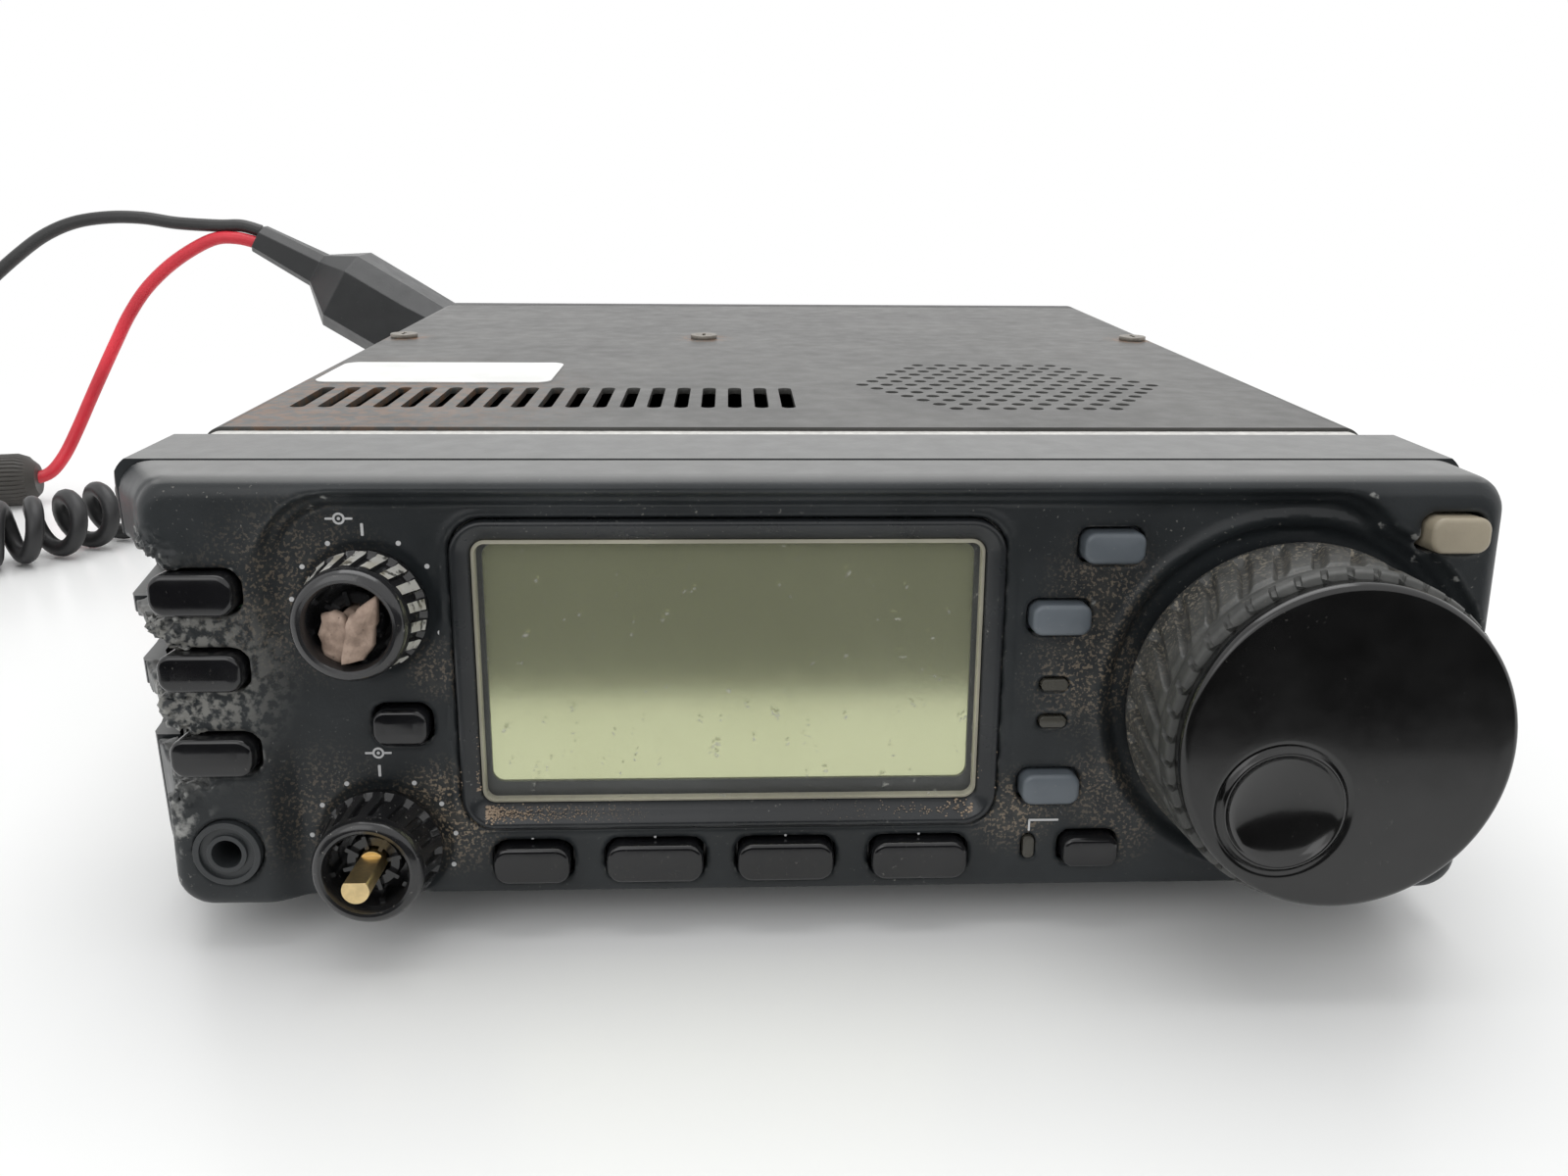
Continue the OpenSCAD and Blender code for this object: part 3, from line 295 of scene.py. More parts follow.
def curledPath(route, first, last):
    # the whole route, with coils wound about the stretch from point first to point last
    steps = 30
    line = curveThrough([place(*p) for p in route], steps)
    openFrom, openTo = (min(range(len(line)), key=lambda i: (line[i].xy - place(*curl[k], 0).xy).length)
                        for k in ("openFrom", "openTo"))
    runs = [0.0]
    for a, b in zip(line, line[1:]):
        runs.append(runs[-1] + (b - a).length)
    begin, finish = runs[first * steps], runs[last * steps]
    ease = curl["ease"] * mm
    phase, grown = [0.0], [0.0]
    for i in range(1, len(line)):
        into = min(runs[i] - begin, finish - runs[i])
        inside = smoothStep((i - openFrom) / 50) * smoothStep((openTo - i) / 50)
        pitch = curl["closePitch"] + (curl["openPitch"] - curl["closePitch"]) * inside
        pitch = (curl["startPitch"] + (pitch - curl["startPitch"]) * smoothStep(into / ease)) * mm
        phase.append(phase[-1] + ((runs[i] - runs[i - 1]) / pitch if into > 0 else 0))
        grown.append(smoothStep(into / ease))
    up = Vector((0, 0, 1))
    points = []
    fine = 6
    for i in range(len(line) - 1):
        for j in range(fine):
            t = j / fine
            p = line[i].lerp(line[i + 1], t)
            ahead = (line[min(i + 2, len(line) - 1)] - line[max(i - 1, 0)]).normalized()
            side = ahead.cross(up).normalized()
            a = 2 * math.pi * (phase[i] + (phase[i + 1] - phase[i]) * t)
            r = curl["radius"] * mm * (grown[i] + (grown[i + 1] - grown[i]) * t)
            q = p + (side * math.sin(a) - up * math.cos(a)) * r
            if not points or (q - points[-1]).length > 1.1 * mm:
                points.append(q)
    return points


micRoute = curl["tail"] + curl["axis"] + curl["end"]
micPath = curledPath(micRoute, len(curl["tail"]) - 1, len(curl["tail"]) + len(curl["axis"]) - 1)
micCord = addCord("micCord", micPath, curl["thick"], 12, "mic_tail", "mic_curl")
print("  microphone cord", round(lengthOf(micPath), 3))

print("finishes")


class Finish:
    # a principled material with a few shorthands for its nodes
    def __init__(self, name, colour, roughness, metallic=0.0, specular=0.5, coat=0.0):
        self.material = bpy.data.materials.new(name)
        self.material.use_nodes = True
        self.tree = self.material.node_tree
        self.shader = self.tree.nodes["Principled BSDF"]
        self.shader.inputs["Base Color"].default_value = (*colour, 1)
        self.shader.inputs["Roughness"].default_value = roughness
        self.shader.inputs["Metallic"].default_value = metallic
        self.shader.inputs["Specular IOR Level"].default_value = specular
        self.shader.inputs["Coat Weight"].default_value = coat
        self.shader.inputs["Coat Roughness"].default_value = 0.08
        self.coords = self.tree.nodes.new("ShaderNodeTexCoord").outputs["Object"]

    def link(self, a, b):
        self.tree.links.new(a, b)

    def shade(self):
        return self.shader.inputs["Base Color"].links[0].from_socket

    def noise(self, scale, detail=4.0, roughness=0.55, stretch=None):
        node = self.tree.nodes.new("ShaderNodeTexNoise")
        node.inputs["Scale"].default_value = scale
        node.inputs["Detail"].default_value = detail
        node.inputs["Roughness"].default_value = roughness
        source = self.coords
        if stretch:
            mapping = self.tree.nodes.new("ShaderNodeMapping")
            mapping.inputs["Scale"].default_value = stretch
            self.link(source, mapping.inputs["Vector"])
            source = mapping.outputs["Vector"]
        self.link(source, node.inputs["Vector"])
        return node.outputs["Fac"]

    def ramp(self, value, low, high, invert=False):
        node = self.tree.nodes.new("ShaderNodeMapRange")
        node.interpolation_type = "SMOOTHSTEP"
        node.inputs["From Min"].default_value = low
        node.inputs["From Max"].default_value = high
        node.inputs["To Min"].default_value = 1.0 if invert else 0.0
        node.inputs["To Max"].default_value = 0.0 if invert else 1.0
        self.link(value, node.inputs["Value"])
        return node.outputs["Result"]

    def times(self, a, b):
        node = self.tree.nodes.new("ShaderNodeMath")
        node.operation = "MULTIPLY"
        for socket, value in zip(node.inputs, (a, b)):
            if isinstance(value, (int, float)):
                socket.default_value = value
            else:
                self.link(value, socket)
        return node.outputs["Value"]

    def blend(self, amount, a, b):
        node = self.tree.nodes.new("ShaderNodeMix")
        node.data_type = "RGBA"
        self.link(amount, node.inputs[0])
        for socket, value in ((node.inputs[6], a), (node.inputs[7], b)):
            if isinstance(value, tuple):
                socket.default_value = (*value, 1)
            else:
                self.link(value, socket)
        return node.outputs[2]

    def near(self, x, y, z, inner, outer):
        # 1 within inner mm of a point of the drawing, 0 beyond outer mm
        node = self.tree.nodes.new("ShaderNodeVectorMath")
        node.operation = "DISTANCE"
        self.link(self.coords, node.inputs[0])
        node.inputs[1].default_value = place(x, y, z)
        return self.ramp(node.outputs["Value"], inner * mm, outer * mm, invert=True)

    def axis(self, letter, low, high, invert=False):
        # a ramp along one of the frame's axes, in metres
        node = self.tree.nodes.new("ShaderNodeSeparateXYZ")
        self.link(self.coords, node.inputs[0])
        return self.ramp(node.outputs[letter], low, high, invert)

    def facing(self, letter, low, high):
        node = self.tree.nodes.new("ShaderNodeSeparateXYZ")
        self.link(self.tree.nodes.new("ShaderNodeNewGeometry").outputs["Normal"], node.inputs[0])
        return self.ramp(node.outputs[letter], low, high)

    def edges(self, low=0.52, high=0.6):
        # worn edges, from how sharply the surface turns
        return self.ramp(self.tree.nodes.new("ShaderNodeNewGeometry").outputs["Pointiness"], low, high)

    def colour(self, value):
        self.link(value, self.shader.inputs["Base Color"])

    def over(self, amount, colour):
        # lay a colour over what is there
        self.colour(self.blend(amount, self.shade(), colour))

    def roughness(self, value, low, high):
        node = self.tree.nodes.new("ShaderNodeMapRange")
        node.inputs["To Min"].default_value = low
        node.inputs["To Max"].default_value = high
        self.link(value, node.inputs["Value"])
        self.link(node.outputs["Result"], self.shader.inputs["Roughness"])

    def bump(self, value, height, strength=1.0):
        node = self.tree.nodes.new("ShaderNodeBump")
        node.inputs["Distance"].default_value = height * mm
        node.inputs["Strength"].default_value = strength
        self.link(value, node.inputs["Height"])
        previous = self.shader.inputs["Normal"].links
        if previous:
            self.link(previous[0].from_socket, node.inputs["Normal"])
        self.link(node.outputs["Normal"], self.shader.inputs["Normal"])


def mouldedPlastic(name, colour, roughness, dust=0.35, grain=0.05, coat=0.0, dustColour=(0.32, 0.31, 0.28),
                   specular=0.5):
    f = Finish(name, colour, roughness, coat=coat, specular=specular)
    cloud = f.ramp(f.noise(55, 5), 0.35, 0.75)
    shade = f.blend(cloud, tuple(c * 0.85 for c in colour), tuple(min(1, c * 1.25 + 0.004) for c in colour))
    specks = f.ramp(f.noise(1900, 2), 0.66, 0.78)
    patches = f.ramp(f.noise(70, 4), 0.42, 0.7)
    f.colour(f.blend(f.times(f.times(specks, patches), dust), shade, dustColour))
    f.roughness(f.noise(240, 5), roughness - 0.1, roughness + 0.14)
    f.bump(f.noise(2600, 2), grain)
    return f


def plainMetal(name, colour, roughness, stretch=(1, 1, 1), metallic=1.0, stain=None):
    f = Finish(name, colour, roughness, metallic=metallic)
    lines = f.noise(900, 3, stretch=stretch)
    shade = f.blend(f.ramp(lines, 0.3, 0.7), tuple(c * 0.82 for c in colour), colour)
    if stain:
        shade = f.blend(f.times(f.ramp(f.noise(120, 6), 0.55, 0.75), 0.6), shade, stain)
    f.colour(shade)
    f.roughness(f.noise(150, 5), roughness - 0.08, roughness + 0.16)
    f.bump(lines, 0.01)
    return f


# colours of dirt and wear, and one painted sheen for surfaces that face up
grimeAndSheen = {"brown": (0.3, 0.235, 0.165), "dust": (0.16, 0.145, 0.12), "torn": (0.25, 0.245, 0.225), "scuff": (0.42, 0.42, 0.4), "paintedTopSheen": (0.2, 0.2, 0.195)}


def headPlastic(name, worn):
    f = mouldedPlastic(name, (0.016, 0.019, 0.021), 0.36, dust=0.6, grain=0.02, specular=0.4)
    # painted sheen: faces turned up are painted lighter, as if the top catches the light
    f.over(f.times(f.facing("Z", 0.75, 0.98), 0.8), grimeAndSheen["paintedTopSheen"])
    if not worn:
        return f
    specks = f.ramp(f.noise(2400, 3), 0.53, 0.6)
    film = f.ramp(f.noise(500, 5), 0.4, 0.7)
    # dirt gathers by the display's lower corners, the knobs and the dial
    for x, s, inner, outer, amount in ((-44, 11, 2, 9, 0.8), (26.5, 11, 1, 7, 0.6), (35, 29, 2, 10, 0.45),
                                       (-60, 40, 3, 14, 0.35), (-59, 12, 1, 11, 0.3), (36, 40, 1, 9, 0.35),
                                       (37, 14, 1, 7, 0.4), (-44, 30, 1, 5, 0.35), (40, 8, 1, 6, 0.35)):
        close = f.near(*facePoint(x, s), inner, outer)
        f.over(f.times(f.times(close, film), amount * 0.3), grimeAndSheen["dust"])
        f.over(f.times(f.times(close, specks), amount), grimeAndSheen["brown"])
    torn = f.times(f.near(*facePoint(-76, 30, 2), 6, 17), f.ramp(f.noise(900, 6), 0.42, 0.58))
    f.over(f.times(torn, 0.75), grimeAndSheen["torn"])
    scuff = f.times(f.near(*facePoint(-77, 11, 2), 1, 8), f.ramp(f.noise(300, 6), 0.5, 0.62))
    f.over(f.times(scuff, 0.7), grimeAndSheen["scuff"])
    f.over(f.times(f.times(f.edges(), f.ramp(f.noise(700, 5), 0.42, 0.58)), 0.6), grimeAndSheen["scuff"])
    return f


def dialRubber():
    f = mouldedPlastic("dialRubber", (0.05, 0.051, 0.048), 0.5, dust=0.5, grain=0.03, dustColour=(0.3, 0.28, 0.23))
    y = facePoint(0, 25.5, 6)[1]
    base = f.axis("Y", place(0, y - 7, 0)[1], place(0, y + 4, 0)[1])
    f.over(f.times(f.times(base, f.ramp(f.noise(2200, 4), 0.52, 0.62)), 0.65), (0.3, 0.26, 0.2))
    f.over(f.times(f.ramp(f.noise(300, 5), 0.45, 0.7), 0.35), (0.13, 0.128, 0.12))
    return f


def wornSilver():
    # flaking silver print on the outer knob's ribs
    f = Finish("wornSilver", (0.6, 0.6, 0.56), 0.4, metallic=0.2)
    shade = f.blend(f.ramp(f.noise(700, 5), 0.52, 0.62), (0.62, 0.61, 0.57), (0.07, 0.07, 0.06))
    f.colour(f.blend(f.times(f.ramp(f.noise(260, 4), 0.45, 0.7), 0.6), shade, (0.33, 0.29, 0.2)))
    f.roughness(f.noise(300, 4), 0.3, 0.6)
    f.bump(f.noise(900, 4), 0.03)
    return f


def tornFoam():
    f = Finish("tornFoam", (0.55, 0.45, 0.36), 0.75)
    shade = f.blend(f.ramp(f.noise(350, 6), 0.35, 0.65), (0.2, 0.14, 0.105), (0.42, 0.31, 0.245))
    f.colour(f.blend(f.ramp(f.noise(1200, 3), 0.64, 0.7), shade, (0.08, 0.06, 0.05)))
    f.roughness(f.noise(300, 4), 0.55, 0.9)
    f.bump(f.noise(800, 6), 0.3)
    return f


def coverPaint():
    f = mouldedPlastic("coverPaint", (0.062, 0.061, 0.057), 0.38, dust=0.35, grain=0.03)
    rust = (0.17, 0.085, 0.04)
    band = f.near(-70, 56, 58, 12, 48)
    f.over(f.times(f.times(band, f.ramp(f.noise(600, 5), 0.42, 0.6)), 0.7), rust)
    for x in (-75.5, -14.2, 75.5):
        f.over(f.times(f.times(f.near(x, 126, 58, 2.5, 7), f.ramp(f.noise(700, 4), 0.4, 0.6)), 0.85), rust)
    rub = f.ramp(f.noise(60, 5, stretch=(1, 5, 1)), 0.45, 0.8)
    f.over(f.times(rub, 0.25), (0.16, 0.155, 0.145))
    return f


def displayOlive():
    f = Finish("displayOlive", (0.62, 0.64, 0.43), 0.15, metallic=0.8)
    f.colour(f.blend(f.ramp(f.noise(30, 2), 0.3, 0.7), (0.66, 0.69, 0.42), (0.7, 0.73, 0.46)))
    f.roughness(f.noise(300, 3), 0.11, 0.15)
    return f


def clearWindow():
    f = Finish("clearWindow", (0.4, 0.4, 0.36), 0.06)
    scratch = f.ramp(f.noise(700, 3), 0.68, 0.74)
    mapping = f.tree.nodes.new("ShaderNodeMapRange")
    mapping.inputs["To Min"].default_value = 0.04
    mapping.inputs["To Max"].default_value = 0.5
    f.link(scratch, mapping.inputs["Value"])
    f.link(mapping.outputs["Result"], f.shader.inputs["Alpha"])
    f.roughness(scratch, 0.05, 0.4)
    f.material.surface_render_method = "BLENDED"
    return f


finish = {
    "head": headPlastic("headPlastic", True),
    "headRear": headPlastic("headRearPlastic", False),
    "surround": mouldedPlastic("surroundPlastic", (0.014, 0.016, 0.018), 0.28, dust=0.7, grain=0.01),
    "gloss": mouldedPlastic("glossKeyPlastic", (0.006, 0.006, 0.007), 0.14, dust=0.3, grain=0.003, coat=0.2),
    "cap": mouldedPlastic("dialCapPlastic", (0.005, 0.005, 0.005), 0.15, dust=0.12, grain=0.002, coat=0.3),
    "greyKey": mouldedPlastic("greyKeyPlastic", (0.095, 0.11, 0.125), 0.33, dust=0.3, grain=0.01),
    "beigeKey": mouldedPlastic("beigeKeyPlastic", (0.30, 0.26, 0.19), 0.4, dust=0.5, grain=0.02),
    "black": mouldedPlastic("plainBlackPlastic", (0.016, 0.016, 0.018), 0.42, dust=0.3),
    "jack": mouldedPlastic("jackPlastic", (0.03, 0.033, 0.035), 0.3, dust=0.3, grain=0.01),
    "rubber": dialRubber(),
    "feet": mouldedPlastic("footRubber", (0.02, 0.02, 0.02), 0.7, dust=0.5),
    "ringKnob": mouldedPlastic("ringKnobPlastic", (0.01, 0.01, 0.011), 0.2, dust=0.8, grain=0.008, coat=0.4),
    "silver": wornSilver(),
    "foam": tornFoam(),
    "lens": mouldedPlastic("lensPlastic", (0.05, 0.047, 0.038), 0.25, dust=0.5, grain=0.01),
    "board": mouldedPlastic("boardGreen", (0.03, 0.12, 0.05), 0.4, dust=0.2, grain=0.01),
    "cone": mouldedPlastic("conePaper", (0.02, 0.02, 0.02), 0.85, dust=0.6),
    "boot": mouldedPlastic("bootPlastic", (0.02, 0.021, 0.022), 0.34, dust=0.25, grain=0.02),
    "fuse": mouldedPlastic("fusePlastic", (0.045, 0.041, 0.036), 0.5, dust=0.3, grain=0.02),
    "redWire": mouldedPlastic("redVinyl", (0.72, 0.03, 0.05), 0.35, dust=0.05, grain=0.01),
    "blackWire": mouldedPlastic("blackVinyl", (0.022, 0.022, 0.022), 0.38, dust=0.1, grain=0.01),
    "cord": mouldedPlastic("cordRubber", (0.02, 0.02, 0.021), 0.42, dust=0.15, grain=0.01),
    "label": mouldedPlastic("labelFilm", (0.86, 0.86, 0.83), 0.4, dust=0.05, grain=0.01),
    "print": mouldedPlastic("palePrint", (0.5, 0.5, 0.5), 0.5, dust=0.2, grain=0.01),
    "windowEdge": mouldedPlastic("windowEdge", (0.42, 0.4, 0.32), 0.2, dust=0.5, grain=0.01),
    "crumbs": mouldedPlastic("crumbs", (0.34, 0.26, 0.19), 0.9, dust=0.3, grain=0.2),
    "bright": plainMetal("brightSteel", (0.62, 0.62, 0.6), 0.3),
    "screw": plainMetal("screwSteel", (0.3, 0.28, 0.25), 0.42, stain=(0.2, 0.1, 0.05)),
    "brass": plainMetal("shaftBrass", (0.88, 0.68, 0.36), 0.36, stain=(0.6, 0.42, 0.2)),
    "dock": plainMetal("dockAlloy", (0.78, 0.77, 0.74), 0.38),
    "cast": plainMetal("castAlloy", (0.42, 0.42, 0.41), 0.5),
    "nickel": plainMetal("nickelPlate", (0.68, 0.67, 0.63), 0.22),
    "tinned": plainMetal("tinnedCopper", (0.66, 0.62, 0.54), 0.34),
    "rear": mouldedPlastic("rearPaint", (0.03, 0.03, 0.03), 0.45, dust=0.3, grain=0.06),
    "cover": coverPaint(),
    "olive": displayOlive(),
    "window": clearWindow(),
}
matte = {name: f.material for name, f in finish.items()}


def dress(piece, look, slot, *replaced):
    piece.data.materials.append(matte[look])
    if replaced:
        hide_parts(*replaced)
    return piece


for cord, look, slot in ((redWire, "redWire", "red_insulation"), (redTail, "redWire", "red_insulation"),
                         (blackWire, "blackWire", "black_insulation"), (micCord, "cord", "cord_rubber"),
                         (fuseHolder, "fuse", "black_plastic")):
    dress(cord, look, slot)

print("front shell")
shell = {
    "rim": 3.0, "left": -61.6, "right": 69.5, "top": 50.0, "corner": 7.0, "softSlope": 4.4, "step": 0.7,
    "outerLeft": -77, "outerRight": 83.5, "outerTop": 53.6, "outerLow": 0.3, "outerCorner": 4.5, "edge": 2.3,
    "wall": 2.0, "rear": 12, "sideRear": -82.85, "taperFrom": 3, "voxel": 0.38, "grid": 0.55, "keep": 0.3, "gap": 0.35,
}
dial = {"x": 59.5, "s": 25.5, "bay": 22.4, "sink": 0.9, "ridge": 0.5}
knobs = {"x": -51.8, "af": 37.6, "shift": 7.6}
display = {"x": -8.9, "s": 28.8, "w": 66.2, "h": 39, "corner": 4.2}
phones = {"x": -69.7, "s": 8, "r": 4.15}
# name: centre across, centre up the face, width, height, level of the face around it
keyPlan = {
    "power_key": (-70.4, 40.3, 9.6, 5.0, 3), "preamp_key": (-70.3, 31.0, 9.6, 4.6, 3),
    "tuner_key": (-69.9, 20.6, 9.6, 4.8, 3), "rit_key": (-48.6, 23.1, 6.6, 4.6, 0),
    "menu_key": (-33.6, 4.9, 9.4, 4.8, 0), "f1_key": (-18.4, 5.0, 12.0, 5.0, 0), "f2_key": (-2.1, 5.0, 12.0, 5.0, 0),
    "f3_key": (14.7, 5.0, 12.0, 5.0, 0), "mode_key": (36.9, 44.9, 7.4, 3.9, 0), "step_key": (31.0, 36.1, 7.2, 3.9, 0),
    "display_key": (30.8, 14.3, 7.2, 4.0, 0), "lock_key": (36.3, 5.8, 7.0, 4.0, 0),
    "up_key": (77.0, 46.9, 7.2, 4.3, 3), "down_key": (76.4, 5.6, 7.2, 4.2, 3),
}
lenses = [(30.9, 27.5, 3.4, 1.5), (30.9, 22.7, 3.4, 1.5), (28.7, 6.0, 1.5, 3.0)]
# what is left of the side's edge around the three side keys, from the top down
tornEdge = [(-80, 46.2), (-76.1, 45.6), (-75.4, 44.4), (-74.3, 43.9), (-74.0, 37.2), (-74.9, 36.7), (-76.6, 37.4),
            (-77.6, 35.9), (-76.0, 35.2), (-74.6, 35.4), (-73.9, 33.8), (-73.1, 28.4), (-74.6, 27.8), (-75.7, 28.6),
            (-76.4, 26.4), (-75.2, 24.4), (-73.2, 23.6), (-72.6, 17.4), (-74.4, 16.8), (-75.8, 15.2), (-80, 14.4)]


def boxDistance(x, s, cx, cs, w, h, r):
    # how far a point is outside a rounded rectangle, negative within it
    dx = abs(x - cx) - w / 2 + r
    ds = abs(s - cs) - h / 2 + r
    return math.hypot(max(dx, 0), max(ds, 0)) + min(max(dx, ds), 0) - r


def faceHeight(x, s):
    c = shell
    low = -12
    inMiddle = boxDistance(x, s, (c["left"] + c["right"]) / 2, (c["top"] + low) / 2, c["right"] - c["left"],
                           c["top"] - low, c["corner"])
    toDial = math.hypot(x - dial["x"], s - dial["s"])
    d = min(inMiddle, toDial - dial["bay"] - 0.3)
    soft = smoothStep((-52 - x) / 8) * smoothStep((48.5 - s) / 5)
    ledge = 0.45 * smoothStep(d / c["step"]) + 0.55 * smoothStep((d - 1.25) / c["step"])
    h = c["rim"] * (ledge * (1 - soft) + smoothStep((d + 0.6) / c["softSlope"]) * soft)
    onFloor = 1 - smoothStep(d / 0.8)
    h -= dial["sink"] * smoothStep((dial["bay"] - 0.4 - toDial) / 0.7)
    h += dial["ridge"] * math.exp(-((toDial - dial["bay"] - 0.7) / 0.55) ** 2) * (1 - smoothStep((x - 66) / 6)) * onFloor
    for s0 in (knobs["af"], knobs["shift"]):
        h -= 0.45 * smoothStep((8.2 - math.hypot(x - knobs["x"], s - s0)) / 0.4)
    toScreen = boxDistance(x, s, display["x"], display["s"], display["w"], display["h"], display["corner"])
    h += 0.35 * math.exp(-((toScreen - 0.9) / 0.35) ** 2)
    # rounded outer edge
    inside = -boxDistance(x, s, (c["outerLeft"] + c["outerRight"]) / 2, (c["outerTop"] + c["outerLow"]) / 2,
                          c["outerRight"] - c["outerLeft"], c["outerTop"] - c["outerLow"], c["outerCorner"])
    r = 0.9 + (c["edge"] - 0.9) * smoothStep(h / c["rim"])
    if inside < r:
        h -= r - math.sqrt(max(0.0, r * r - (r - max(inside, 0)) ** 2))
    return h


def workMesh(name, bm):
    bmesh.ops.recalc_face_normals(bm, faces=bm.faces)
    mesh = bpy.data.meshes.new(name)
    bm.to_mesh(mesh)
    bm.free()
    return mesh


def settle(mesh, *steps):
    # run modifiers over a mesh and keep the result
    holder = bpy.data.objects.new("work", mesh)
    bpy.context.scene.collection.objects.link(holder)
    others = []
    for kind, values in steps:
        mod = holder.modifiers.new(kind, kind)
        for key, value in values.items():
            if isinstance(value, bpy.types.Mesh):
                other = bpy.data.objects.new("other", value)
                bpy.context.scene.collection.objects.link(other)
                others.append(other)
                value = other
            setattr(mod, key, value)
    bpy.context.view_layer.update()
    result = bpy.data.meshes.new_from_object(holder.evaluated_get(bpy.context.evaluated_depsgraph_get()))
    for o in others + [holder]:
        bpy.data.objects.remove(o)
    return result


def shellRing(y, inset):
    # cross-section of the shell's outside at depth y, drawn in by inset
    c = shell
    t = smoothStep(0) if y <= c["taperFrom"] else (y - c["taperFrom"]) / (c["rear"] - c["taperFrom"])
    x0 = c["outerLeft"] + (c["sideRear"] - c["outerLeft"]) * t + inset
    x1 = c["outerRight"] - inset
    z0, z1 = 5.55 + 0.6 * inset, 58.66 - 0.4 * (y + 3) / 35 - inset
    r = c["outerCorner"] - inset
    return [((x0 + x1) / 2 + x, y, (z0 + z1) / 2 + z) for x, z in roundedRect(x1 - x0, z1 - z0, r, 8)]


def addHoles(bm):
    def cut(x, s, w, h, r, n0=-4, n1=9):
        rings = [[facePoint(x + px, s + py, n) for px, py in roundedRect(w, h, r, 5)] for n in (n0, n1)]
        skin(bm, rings)

    gap = shell["gap"]
    for x, s, w, h, level in keyPlan.values():
        cut(x, s, w + 2 * gap, h + 2 * gap, min(w, h) / 2 - 0.5)
    cut(display["x"], display["s"], display["w"] + 0.2, display["h"] + 0.2, display["corner"] - 0.1)
    for x, s, w, h in lenses:
        cut(x, s, w + 0.3, h + 0.3, 0.8)
    cut(dial["x"], dial["s"], 9.2, 9.2, 4.59)
    for s in (knobs["af"], knobs["shift"]):
        cut(knobs["x"], s, 7.2, 7.2, 3.59)
    cut(phones["x"], phones["s"], 2 * phones["r"], 2 * phones["r"], phones["r"] - 0.01)


# breaks through the left wall beside the side keys: depth behind the face, height
breaks = [
    [(-4, 41.5), (6, 40.5), (13, 41.2), (20.5, 42.6), (21.4, 45.8), (18, 48.6), (9, 49.4), (-4, 48.8)],
    [(-4, 32.8), (8, 31.9), (17, 33), (23.5, 34.4), (24, 36.8), (19, 38.6), (8, 39.2), (-4, 38.4)],
    [(-4, 22), (7, 21.4), (15, 22.6), (19, 24.6), (18.4, 27.6), (12, 29.4), (-4, 29)],
]


def finer(outline, step):
    points = []
    for (xa, ya), (xb, yb) in zip(outline, outline[1:] + outline[:1]):
        count = max(1, int(math.hypot(xb - xa, yb - ya) / step))
        points += [(xa + (xb - xa) * i / count, ya + (yb - ya) * i / count) for i in range(count)]
    return points


def tornOutline():
    # the torn edge again with its small teeth
    points = []
    for (xa, sa), (xb, sb) in zip(tornEdge, tornEdge[1:]):
        steps = max(1, int(math.hypot(xb - xa, sb - sa) / 0.5))
        for i in range(steps):
            x, s = xa + (xb - xa) * i / steps, sa + (sb - sa) * i / steps
            ragged = 0.45 if x > -78.5 else 0
            points.append((x + ragged * noise.noise(Vector((x, s, 0.3)) * 0.9),
                           s + ragged * noise.noise(Vector((x, s, 7.3)) * 0.9)))
    return points + [tornEdge[-1]]


def buildShell():
    c = shell
    columns = int(176 / c["grid"])
    rows = int(64 / c["grid"])
    bm = bmesh.new()
    grid = []
    for j in range(rows + 1):
        s = -4 + 64 * j / rows
        line = []
        for i in range(columns + 1):
            x = -88 + 176 * i / columns
            line.append(bm.verts.new(facePoint(x, s, faceHeight(x, s))))
        grid.append(line)
    for a, b in zip(grid, grid[1:]):
        for i in range(columns):
            bm.faces.new((a[i], a[i + 1], b[i + 1], b[i]))
    back = [bm.verts.new(facePoint(x, s, -40)) for x, s in ((-88, -4), (88, -4), (88, 60), (-88, 60))]
    low, high = grid[0], grid[-1]
    bm.faces.new((back[0], back[1], *low[::-1]))
    bm.faces.new((back[2], back[3], *high))
    bm.faces.new((back[3], back[0], *[line[0] for line in grid]))
    bm.faces.new((back[1], back[2], *[line[-1] for line in grid[::-1]]))
    bm.faces.new((back[3], back[2], back[1], back[0]))
    slab = workMesh("slab", bm)
    bm = bmesh.new()
    skin(bm, [shellRing(y, 0) for y in (-6, c["taperFrom"], c["rear"])])
    block = workMesh("block", bm)
    bm = bmesh.new()
    hollow = shellRing(c["taperFrom"], c["wall"])
    front = []
    for x, y, z in hollow:
        s = (z - footHeight + c["wall"] * math.sin(faceTilt)) / math.cos(faceTilt)
        front.append(facePoint(x, s, -c["wall"]))
    skin(bm, [front, shellRing(c["rear"] + 2, c["wall"])])
    cavity = workMesh("cavity", bm)
    bm = bmesh.new()
    addHoles(bm)
    holes = workMesh("holes", bm)
    bm = bmesh.new()
    skin(bm, [[facePoint(x, s, n) for x, s in tornOutline()] for n in (-1.3, 9)])
    torn = workMesh("torn", bm)
    bm = bmesh.new()
    for outline in breaks:
        rings = []
        for x in (-86, -82, -80, -78.5, -77, -75.6):
            ring = []
            for y, z in finer(outline, 0.8):
                ragged = Vector((x, y, z))
                ring.append((x, y + 0.8 * noise.noise(ragged * 0.8), z + 1.1 * noise.noise(ragged * 0.6)))
            rings.append(ring)
        skin(bm, rings)
    notch = workMesh("notch", bm)
    cuts = [("BOOLEAN", {"object": block, "operation": "INTERSECT", "solver": "MANIFOLD"})]
    cuts += [("BOOLEAN", {"object": cutter, "operation": "DIFFERENCE", "solver": "MANIFOLD"})
             for cutter in (cavity, holes, torn, notch)]
    return settle(slab, *cuts, ("REMESH", {"mode": "VOXEL", "voxel_size": c["voxel"]}),
                  ("SMOOTH", {"factor": 0.5, "iterations": 3}))


